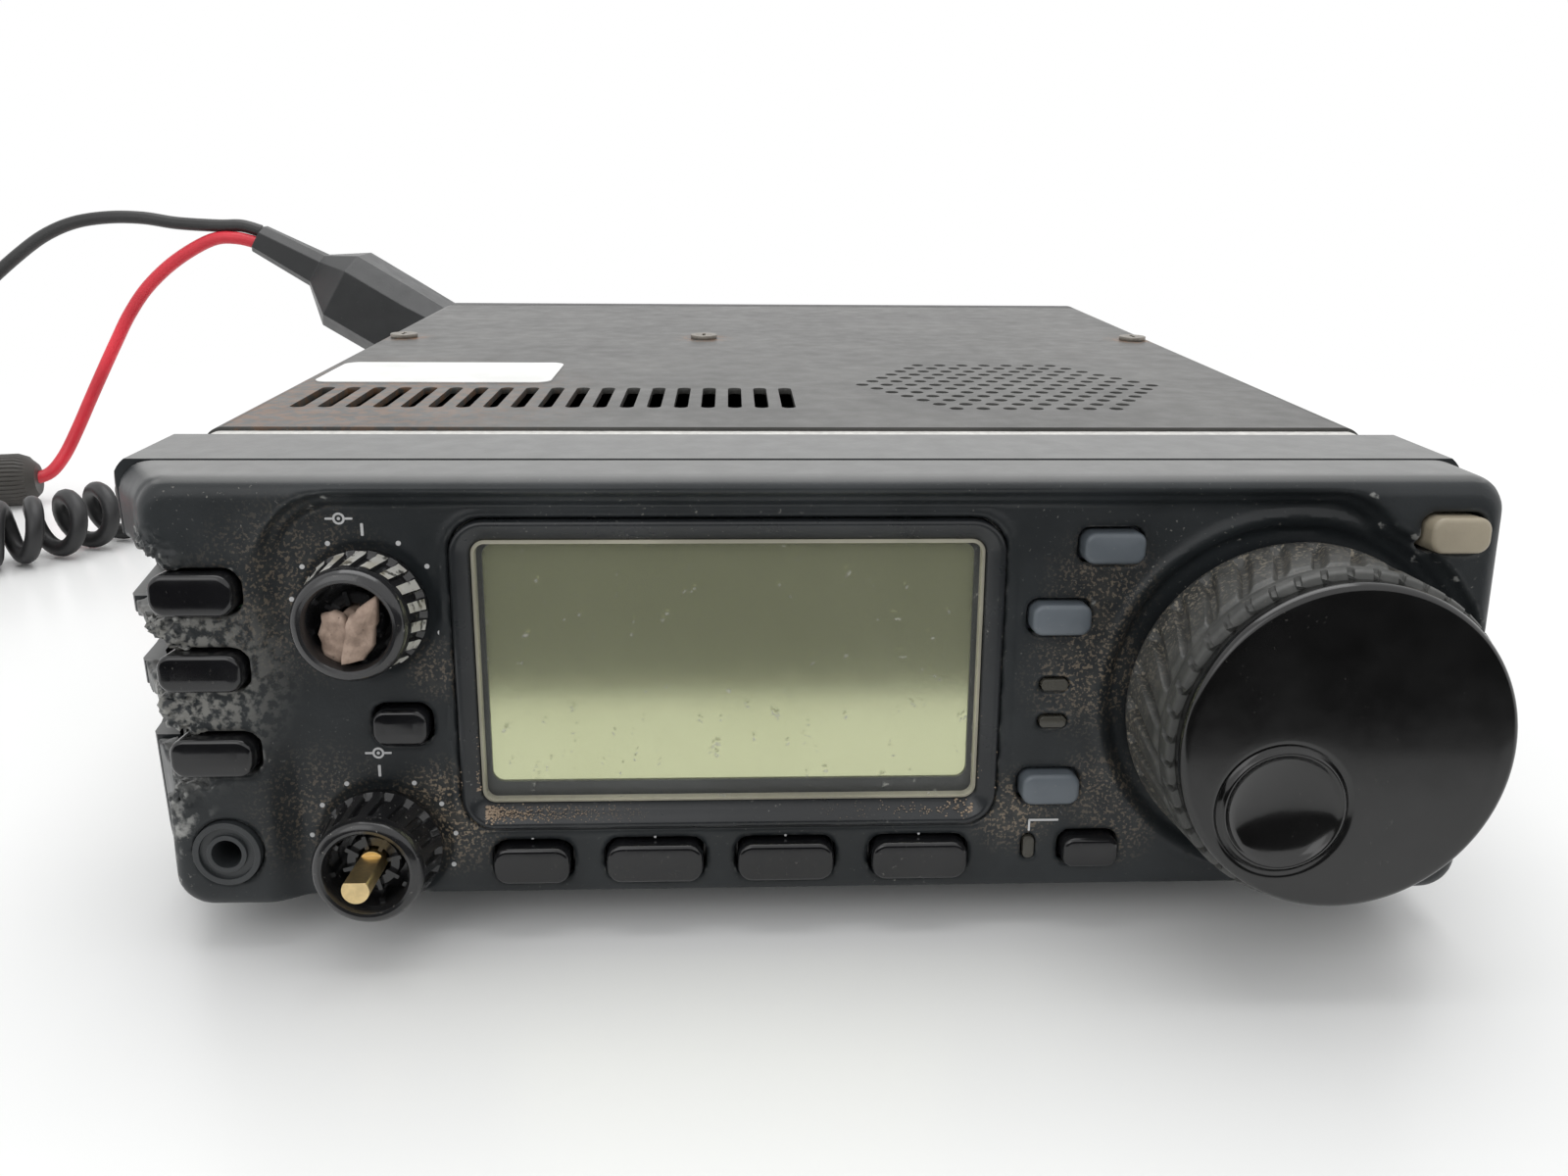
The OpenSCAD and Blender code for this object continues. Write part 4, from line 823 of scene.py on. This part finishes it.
def roughenTorn(mesh):
    # melted and crumbled plastic along the torn edge
    outline = tornEdge[1:-1]
    tilt = (math.sin(faceTilt), math.cos(faceTilt))
    for v in mesh.vertices:
        x, y, z = v.co
        if x > -69 or not 16 < z < 54 or y > 6:
            continue
        s = (z - footHeight) * tilt[1] + y * tilt[0]
        near = min((Vector((x, s)) - Vector(p)).length for p in outline)
        amount = smoothStep((3.4 - near) / 2.6)
        if amount > 0:
            p = Vector((x, y, z))
            lump = noise.fractal(p * 0.8, 0.8, 2.1, 4) * 0.75 + noise.noise(p * 2.6) * 0.22
            v.co += v.normal * lump * amount


shellMesh = buildShell()
roughenTorn(shellMesh)
shellMesh = settle(shellMesh, ("DECIMATE", {"ratio": shell["keep"]}))
for v in shellMesh.vertices:
    v.co = place(*v.co)
shellMesh.materials.clear()
frontShell = makeObject("frontShell", shellMesh, "control_head", smooth=50)
dress(frontShell, "head", "head_plastic", "front_bezel")
print("  faces", len(shellMesh.polygons))

print("display")


def addFrames():
    def at(x, y, n):
        return onFace(display["x"] + x, display["s"] + y, n)

    bm = bmesh.new()
    w, h, r = display["w"] - 0.1, display["h"] - 0.1, display["corner"]
    outside = [(0, -1.8), (0, 0.35), (0.12, 0.62), (0.35, 0.78), (0.65, 0.8), (0.9, 0.7), (2.0, -0.1), (2.25, -0.32)]
    rings = roundedSteps(w, h, r, outside, 8)
    opening = [(x * 1, y + 0.3, n) for x, y, n in roundedSteps(61.5, 33.3, 1.8, [(0, -0.55), (0, -1.75)], 8)[0]]
    opening2 = [(x, y, -1.75) for x, y, n in opening]
    skin(bm, rings + [opening, opening2], at=at, loop=True)
    surround = makeObject("displaySurround", bm, "control_head", smooth=50)
    dress(surround, "surround", "display_bezel", "display_surround")

    bm = bmesh.new()
    edge = roundedSteps(61.4, 33.2, 1.7, [(0, -1.6), (0, -0.7), (0.05, -0.55), (0.42, -0.24), (0.5, -0.5), (0.5, -1.6)], 8)
    skin(bm, edge, at=lambda x, y, n: at(x, y + 0.3, n), loop=True)
    rim = makeObject("windowRim", bm, "control_head", smooth=30)
    dress(rim, "windowEdge", "clear_window")

    bm = bmesh.new()
    skin(bm, roundedSteps(60.3, 32.1, 1.2, [(0, -1.3), (0, -0.36), (0.12, -0.28)], 8), at=lambda x, y, n: at(x, y + 0.3, n))
    window = makeObject("displayWindow", bm, "control_head", smooth=30)
    dress(window, "window", "clear_window", "display_window")

    # a dark ring behind the window, wider along its foot: painted shadow of the window's lower edge on the display
    bm = bmesh.new()
    outer = roundedSteps(62, 34, 1.6, [(0, -2.15), (0, -1.85)], 8)
    inner = [[(x, y + 0.75, n) for x, y, n in ring] for ring in roundedSteps(59.2, 30.2, 1.4, [(0, -1.85), (0, -2.15)], 8)]
    skin(bm, outer + inner, at=lambda x, y, n: at(x, y + 0.3, n), loop=True)
    shadowRing = makeObject("displayPaintedShadow", bm, "control_head", smooth=30)
    dress(shadowRing, "jack", "display_bezel")


def addCrumbs():
    # dirt packed into the lower corners of the frame
    bm = bmesh.new()
    for i in range(1500):
        t, u, v, w = (abs(noise.cell(Vector((i * 1.37, k * 3.1, 0.5)))) for k in range(4))
        run = t ** 1.8 * 20
        across = (u + w) / 2 * 2.3
        # t runs along the frame from its corner, up the side or along the bottom
        if i % 2:
            x, y = -(30.75 + across), -14.5 + run
        else:
            x, y = -30.2 + run, -(16.35 + across)
        if i % 5 == 0:
            x = -x
        size = (0.06 + 0.12 * v) * (1.25 - t)
        depth = -0.32 + 0.45 * across
        matrix = Matrix.Translation(onFace(display["x"] + x, display["s"] + y, depth)) @ Matrix.Diagonal((1, 1, 0.7, 1))
        bmesh.ops.create_icosphere(bm, subdivisions=1, radius=size * mm, matrix=matrix)
    dirt = makeObject("cornerDirt", bm, "control_head", smooth=180)
    dress(dirt, "crumbs", "display_bezel")


addFrames()
addCrumbs()

print("keys")
keyShape = {"stand": 1.9, "round": 0.62, "deep": 2.6}
keyLooks = {"greyKey": ("mode_key", "step_key", "display_key"), "beigeKey": ("up_key", "down_key")}


def addKey(name, x, s, w, h, level):
    top = level + keyShape["stand"]
    r = keyShape["round"]
    lip = -keyShape["deep"]
    levels = [(-0.7, lip - 0.7), (-0.7, lip), (0, lip + 0.05), (0, top - r)]
    levels += [(r * (1 - math.cos(a)), top - r + r * math.sin(a)) for a in (math.pi / 2 * k / 5 for k in range(1, 6))]
    levels += [(r + 0.5, top + 0.05), (r + 1.0, top + 0.08)]
    bm = bmesh.new()
    rings = [ring for ring in roundedSteps(w, h, min(w, h) / 2 - 0.6, levels, 7)]
    low = h / 2 + 0.15
    rings[0] = [(px, max(-low, min(low, py)), n) for px, py, n in rings[0]]
    rings[1] = [(px, max(-low, min(low, py)), n) for px, py, n in rings[1]]
    skin(bm, rings, at=lambda px, py, n: onFace(x + px, s + py, n))
    key = makeObject(name.replace("_key", "Key"), bm, name + "_cap", smooth=50)
    look = next((k for k, names in keyLooks.items() if name in names), "gloss")
    slot = {"gloss": "gloss_black", "greyKey": "grey_key", "beigeKey": "beige_key"}[look]
    dress(key, look, slot, name)


for keyName, plan in keyPlan.items():
    addKey(keyName, *plan)

print("tuning dial")
grip = {"low": 1.9, "high": 15.8, "r": 20.25, "inner": 17.6, "pads": 28, "notches": 42, "sides": 840,
        "padDepth": 1.05, "notchDepth": 0.6, "twist": 0.15}
cap = {"low": 15.85, "r": 19.0, "top": 18.4, "round": 0.8, "dimple": (-6.95, -6.95), "ring": 7.7}


def padShape(phase):
    # 1 on a pad, 0 in the groove beside it; one flank steep, the other easy
    return smoothStep(phase / 0.05) * smoothStep((0.86 - phase) / 0.3)


def addGrip():
    g = grip
    levels = [1.9, 2.15, 2.7, 3.0, 3.4, 4.6, 6, 7.5, 9, 10.4, 11.6, 12.0, 12.3, 12.6, 12.9, 13.2, 13.5, 14.2, 14.4, 14.8,
              15.2, 15.5, 15.8]
    rings = []
    for n in levels:
        bottomRound = 0.25 * (1 - smoothStep((n - 1.9) / 0.3))
        body = g["r"] - 0.45 * (n - g["low"]) / (g["high"] - g["low"]) - bottomRound
        padded = smoothStep((n - 2.7) / 0.6) * smoothStep((12.5 - n) / 0.8)
        waist = 0.35 * smoothStep((n - 12.0) / 0.5) * smoothStep((13.5 - n) / 0.5)
        notched = smoothStep((n - 14.2) / 0.3)
        front = 0.3 * smoothStep((n - 15.3) / 0.5)
        twist = g["twist"] * smoothStep((n - 2) / 18) * 2
        ring = []
        for k in range(g["sides"]):
            pad = padShape((k * g["pads"] / g["sides"]) % 1)
            notch = 1 if k % (g["sides"] // g["notches"]) < 5 else 0
            r = body - waist - front - g["padDepth"] * padded * (1 - pad) - g["notchDepth"] * notched * notch
            a = 2 * math.pi * k / g["sides"] + twist
            ring.append((r * math.cos(a), r * math.sin(a), n))
        rings.append(ring)
    inner = circleSteps([(g["inner"], g["high"]), (g["inner"], g["low"])], g["sides"])
    bm = bmesh.new()
    skin(bm, rings + inner, at=lambda x, y, n: onFace(dial["x"] + x, dial["s"] + y, n), loop=True)
    piece = makeObject("dialGrip", bm, "tuning_dial", smooth=60)
    dress(piece, "rubber", "dial_rubber", "dial_grip")


def dimpleHeight(d):
    # raised ring about a shallow bowl for a fingertip
    bowl = -1.5 * max(0.0, 1 - (d / 6.3) ** 2) ** 0.8 - 0.15
    ring = 0.4 * math.exp(-((d - 6.75) / 0.36) ** 2)
    moat = -0.28 * math.exp(-((d - 7.5) / 0.3) ** 2)
    return (bowl if d < 6.3 else -0.15 * smoothStep((7.2 - d) / 0.9)) + ring + moat


def addCap():
    c = cap
    sides = 168
    dx, dy = c["dimple"]
    rings = circleSteps([(19.0 - 1.6, 14.4), (17.4, 15.85), (18.6, 15.95), (19.0, 16.3)], sides)
    for i in range(7):
        a = math.pi / 2 * i / 6
        rings += circleSteps([(c["r"] - c["round"] * (1 - math.cos(a)), c["top"] - c["round"] + c["round"] * math.sin(a))], sides)
    flat = c["r"] - c["round"]
    near = 8.3
    for i in range(1, 12):
        t = i / 11
        rings += circleSteps([(flat + (near - flat) * t, c["top"])], sides, (dx * t, dy * t))
    for d in [8.1, 7.9, 7.7, 7.5, 7.3, 7.15, 7.0, 6.85, 6.7, 6.55, 6.4, 6.2, 5.9, 5.5, 5, 4.4, 3.7, 2.9, 2, 1, 0.4]:
        rings += circleSteps([(d, c["top"] + dimpleHeight(d))], sides, (dx, dy))
    bm = bmesh.new()
    skin(bm, rings, at=lambda x, y, n: onFace(dial["x"] + x, dial["s"] + y, n))
    piece = makeObject("dialCap", bm, "tuning_dial", smooth=50)
    dress(piece, "cap", "gloss_black", "dial_cap")


addGrip()
addCap()

print("ring knobs")
ringKnob = {"r": 7.4, "front": 8.8, "bore": 5.2, "ribs": 18, "sides": 216, "depth": 0.5, "twist": 0.12}


def addRing(name, s, body, ribLook, slot, *replaced):
    k = ringKnob
    levels = [0.55, 0.8, 1.5, 1.7, 2.0, 2.4, 4.0, 5.6, 6.4, 6.8, 7.1, 7.4, 8.0, 8.4, 8.65, 8.8]
    rings = []
    for n in levels:
        body0 = k["r"] - 0.55 * smoothStep((n - 1.5) / 6) - 0.25 * smoothStep((1.9 - n) / -0.4)
        if n < 1.6:
            body0 = k["r"] - 0.1 * (n < 0.7)
        ribbed = smoothStep((n - 1.7) / 0.5) * smoothStep((6.9 - n) / 0.5)
        front = 1.1 * (1 - math.sqrt(max(0.0, 1 - min(1, max(0, (n - 7.5) / 1.3)) ** 2)))
        ring = []
        for i in range(k["sides"]):
            phase = (i * k["ribs"] / k["sides"]) % 1
            rib = 1 if phase < 0.52 else 0
            r = body0 - front - k["depth"] * ribbed * (1 - rib)
            a = 2 * math.pi * i / k["sides"] + k["twist"] * n / 5
            ring.append((r * math.cos(a), r * math.sin(a), n))
        rings.append(ring)
    inside = [(5.5, 8.85), (5.15, 8.75), (4.9, 8.4), (4.75, 7.8), (4.75, 3.2), (4.9, 3.0), (3.4, 3.0), (3.3, 3.2),
              (3.3, 5.1), (3.1, 5.3), (2.1, 5.3), (1.9, 5.1), (1.9, 0.6), (4.8, 0.55)]
    rings += circleSteps(inside, k["sides"])
    bm = bmesh.new()
    loops = skin(bm, rings, at=lambda x, y, n: onFace(knobs["x"] + x, s + y, n), loop=True)
    bm.faces.ensure_lookup_table()
    bm.faces.index_update()
    perRing = k["sides"]
    for row in range(4, 8):
        for i in range(perRing):
            phase = ((i + 0.5) * k["ribs"] / k["sides"]) % 1
            if phase < 0.46:
                bm.faces[row * perRing + i].material_index = 1
    # short splines inside the cup and a slotted hub
    for i in range(8):
        a = 2 * math.pi * (i + 0.3) / 8
        turn = Matrix.Rotation(a, 4, "Z")
        for radius, w, d, n0, n1 in ((4.55, 0.5, 0.6, 3.0, 6.6), (2.7, 0.5, 1.7, 5.0, 5.9)):
            rod = [[(turn @ Vector((radius + px, py, n)))[:] for px, py in roundedRect(w if radius > 4 else d, d if radius > 4 else w, 0.1, 2)]
                   for n in (n0, n1)]
            skin(bm, rod, at=lambda x, y, n: onFace(knobs["x"] + x, s + y, n))
    piece = makeObject(name, bm, body, [matte["ringKnob"], matte[ribLook]], smooth=35)
    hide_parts(*replaced)


addRing("afRing", knobs["af"], "volume_ring", "silver", "worn_knob", "af_ring")
addRing("shiftRing", knobs["shift"], "shift_knob_ring", "ringKnob", "black_plastic", "shift_ring")


def addTornInsert():
    # what is left of the lost inner knob: two torn flaps of its foam insert
    flaps = [
        ([(-3.4, -3.9), (-1.6, -4.6), (0.2, -4.2), (1.0, -2.6), (0.3, -0.6), (-0.4, 1.2), (-1.6, 1.7), (-3.0, 1.1),
          (-3.7, -1.2)], 7.4, 0.25),
        ([(-0.8, -4.3), (1.4, -4.0), (2.6, -2.2), (3.2, 0.4), (3.5, 3.6), (1.9, 2.4), (0.4, 1.4), (-0.3, -0.8)], 8.2, -0.35),
    ]
    bm = bmesh.new()
    for outline, level, lean in flaps:
        cx = sum(p[0] for p in outline) / len(outline)
        cy = sum(p[1] for p in outline) / len(outline)
        line = []
        for i, (x, y) in enumerate(outline):
            x2, y2 = outline[(i + 1) % len(outline)]
            line += [(x + (x2 - x) * t, y + (y2 - y) * t) for t in (0, 0.33, 0.67)]
        rings = []
        for shrink, depth in ((0.15, -1.6), (0.96, -1.4), (1.03, -0.7), (1.0, -0.15), (0.93, 0.1), (0.7, 0.3), (0.4, 0.42), (0.1, 0.5)):
            ring = []
            for x, y in line:
                px, py = cx + (x - cx) * shrink, cy + (y - cy) * shrink
                wobble = 0.35 * noise.noise(Vector((px, py, depth + level)) * 0.9)
                n = level + depth + lean * (px - cx) + wobble + 0.12 * (py + 4)
                ring.append((px + 0.3 * noise.noise(Vector((px, py, 5)) * 1.3), py + wobble * 0.5, min(n, 10.4)))
            rings.append(ring)
        skin(bm, rings, at=lambda x, y, n: onFace(knobs["x"] + x, knobs["af"] + y, n))
    shaft = circleSteps([(1.55, -15), (1.55, 6.6), (1.4, 6.8)], 32)
    skin(bm, shaft, at=lambda x, y, n: onFace(knobs["x"] + x, knobs["af"] + y, n))
    piece = makeObject("tornInsert", bm, "volume_spindle", smooth=55)
    dress(piece, "foam", "worn_knob", "af_spindle")


addTornInsert()

print("marks")
prints = {"thick": 0.06, "dot": 0.3, "ring": 8.85}


def addPrints():
    bm = bmesh.new()

    def bar(x, s, w, h, level=0.0):
        skin(bm, [[(px, py, level + n) for px, py in roundedRect(w, h, min(w, h) * 0.3, 2)] for n in (-0.2, prints["thick"])],
             at=lambda px, py, n: onFace(x + px, s + py, n))

    def dot(x, s, r, level=0.0):
        skin(bm, circleSteps([(r, -0.2), (r, prints["thick"])], 14), at=lambda px, py, n: onFace(x + px, s + py, n + level))

    for s in (knobs["af"], knobs["shift"]):
        for k in (-4, -3, -2, -1, 1, 2, 3, 4):
            a = math.radians(90 + 27.5 * k)
            if s + prints["ring"] * math.sin(a) > 2:
                dot(knobs["x"] + prints["ring"] * math.cos(a), s + prints["ring"] * math.sin(a), prints["dot"])
        bar(knobs["x"], s + 9.5, 0.34, 1.5)
    for key in ("menu_key", "f1_key", "f2_key", "f3_key"):
        bar(keyPlan[key][0], 8.35, 0.3, 1.1)
    # bracket from the lock lamp to its key
    bar(28.7, 8.9, 0.26, 1.5)
    bar(30.5, 9.6, 3.8, 0.26)
    # sign of a double knob: a ring on a line
    for x, s in ((-54.4, 48.4), (-51.8, 19.4)):
        bar(x - 1.15, s, 0.9, 0.26)
        bar(x + 1.15, s, 0.9, 0.26)
        rings = circleSteps([(0.72, -0.2), (0.72, prints["thick"]), (0.46, prints["thick"]), (0.46, -0.2)], 20)
        skin(bm, rings, at=lambda px, py, n: onFace(x + px, s + py, n), loop=True)
        dot(x, s, 0.2)
    marks = makeObject("facePrint", bm, "control_head", smooth=30)
    dress(marks, "print", "label_film")


addPrints()

print("casework")
looks = {
    "headRear": ["head_rear_shell"],
    "olive": ["lcd_panel"],
    "bright": ["lcd_frame", "dial_encoder", "dial_spindle", "double_controls", "speaker_frame", "board_parts"],
    "board": ["key_board", "circuit_boards"],
    "black": ["key_switches", "dial_core", "fan_housing", "fan_rotor", "rear_sockets", "mic_plugs"],
    "lens": ["status_lenses"],
    "jack": ["phones_jack"],
    "brass": ["shift_spindle"],
    "screw": ["head_screws", "cover_screws"],
    "dock": ["docking_frame"],
    "cast": ["chassis_casting"],
    "cover": ["top_cover", "bottom_cover"],
    "rear": ["heat_sink"],
    "cone": ["speaker_cone"],
    "nickel": ["aerial_sockets"],
    "feet": ["rubber_feet"],
    "label": ["cover_label"],
    "boot": ["dc_plug"],
    "tinned": ["ring_terminals"],
}
# widths of the rounded edges that the moulding and pressing leave, in mm
roundings = {"head_rear_shell": 0.6, "dc_plug": 1.2, "phones_jack": 0.35, "docking_frame": 0.3, "heat_sink": 0.4,
             "top_cover": 0.25, "bottom_cover": 0.25, "mic_plugs": 0.5, "rear_sockets": 0.3, "rubber_feet": 0.4,
             "aerial_sockets": 0.25, "shift_spindle": 0.12, "status_lenses": 0.15, "cover_screws": 0.15}


def softenEdges(node, width):
    weld = node.modifiers.new("weld", "WELD")
    weld.merge_threshold = 0.00002
    flat = node.modifiers.new("flats", "DECIMATE")
    flat.decimate_type = "DISSOLVE"
    flat.angle_limit = math.radians(0.8)
    bevel = node.modifiers.new("edges", "BEVEL")
    bevel.width = width * mm
    bevel.segments = 2
    bevel.limit_method = "ANGLE"
    bevel.angle_limit = math.radians(35)
    bevel.use_clamp_overlap = True


for look, names in looks.items():
    for name in names:
        nodes[name].data.materials.clear()
        nodes[name].data.materials.append(matte[look])
        if name in roundings:
            softenEdges(nodes[name], roundings[name])

print("floor and lights")
studio = {"floor": (0.9, 0.9, 0.89), "world": 0.82, "top": 3.0, "front": 0.8, "cardAt": -124, "cardHigh": 66}


def addStage(name, bm, material):
    mesh = workMesh(name, bm)
    mesh.materials.append(material)
    piece = bpy.data.objects.new(name, mesh)
    bpy.context.scene.collection.objects.link(piece)
    return piece


def brightRays(tree):
    # 1 for what the lens, a gloss or a glass sees
    rays = tree.nodes.new("ShaderNodeLightPath")
    either = rays.outputs["Is Camera Ray"]
    for ray in ("Is Glossy Ray", "Is Transmission Ray"):
        join = tree.nodes.new("ShaderNodeMath")
        join.operation = "MAXIMUM"
        tree.links.new(either, join.inputs[0])
        tree.links.new(rays.outputs[ray], join.inputs[1])
        either = join.outputs[0]
    return either


def fadeToWhite(f):
    # away from the object the paper turns as white as the wall
    white = f.tree.nodes.new("ShaderNodeEmission")
    mix = f.tree.nodes.new("ShaderNodeMixShader")
    far = f.tree.nodes.new("ShaderNodeVectorMath")
    far.operation = "LENGTH"
    f.link(f.coords, far.inputs[0])
    f.link(f.times(f.ramp(far.outputs["Value"], 0.17, 0.5), brightRays(f.tree)), mix.inputs[0])
    f.link(f.shader.outputs[0], mix.inputs[1])
    f.link(white.outputs[0], mix.inputs[2])
    f.link(mix.outputs[0], f.tree.nodes["Material Output"].inputs["Surface"])


def addStudio():
    bm = bmesh.new()
    bmesh.ops.create_grid(bm, x_segments=1, y_segments=1, size=6)
    f = Finish("paperFloor", studio["floor"], 0.3, specular=0.5)
    f.roughness(f.noise(40, 3), 0.26, 0.34)
    fadeToWhite(f)
    addStage("paperFloor", bm, f.material)
    # a dark card below the lens, seen only in the gloss of the face
    bm = bmesh.new()
    corners = [bm.verts.new(place(x, studio["cardAt"], z)) for x, z in
               ((-260, 0), (260, 0), (260, studio["cardHigh"]), (-260, studio["cardHigh"]))]
    bm.faces.new(corners)
    card = addStage("darkCard", bm, Finish("cardBlack", (0.01, 0.01, 0.01), 0.9, specular=0.0).material)
    card.visible_camera = card.visible_diffuse = card.visible_shadow = card.visible_transmission = False
    world = bpy.data.worlds.new("studioWorld")
    world.use_nodes = True
    bpy.context.scene.world = world
    tree = world.node_tree
    light = tree.nodes["Background"]
    light.inputs["Color"].default_value = (0.98, 0.99, 1, 1)
    light.inputs["Strength"].default_value = studio["world"]
    seen = tree.nodes.new("ShaderNodeBackground")
    seen.inputs["Color"].default_value = (1, 1, 1, 1)
    mix = tree.nodes.new("ShaderNodeMixShader")
    tree.links.new(brightRays(tree), mix.inputs[0])
    tree.links.new(light.outputs[0], mix.inputs[1])
    tree.links.new(seen.outputs[0], mix.inputs[2])
    tree.links.new(mix.outputs[0], tree.nodes["World Output"].inputs["Surface"])
    for name, at, size, power in (("topLamp", (0, 0.15, 0.75), 0.7, studio["top"]),
                                  ("frontLamp", (-0.35, -0.7, 0.55), 0.5, studio["front"])):
        data = bpy.data.lights.new(name, "AREA")
        data.size = size
        data.energy = power
        lamp = bpy.data.objects.new(name, data)
        bpy.context.scene.collection.objects.link(lamp)
        lamp.location = at
        lamp.rotation_euler = (Vector((0, 0, 0.03)) - Vector(at)).to_track_quat("-Z", "Y").to_euler()


addStudio()
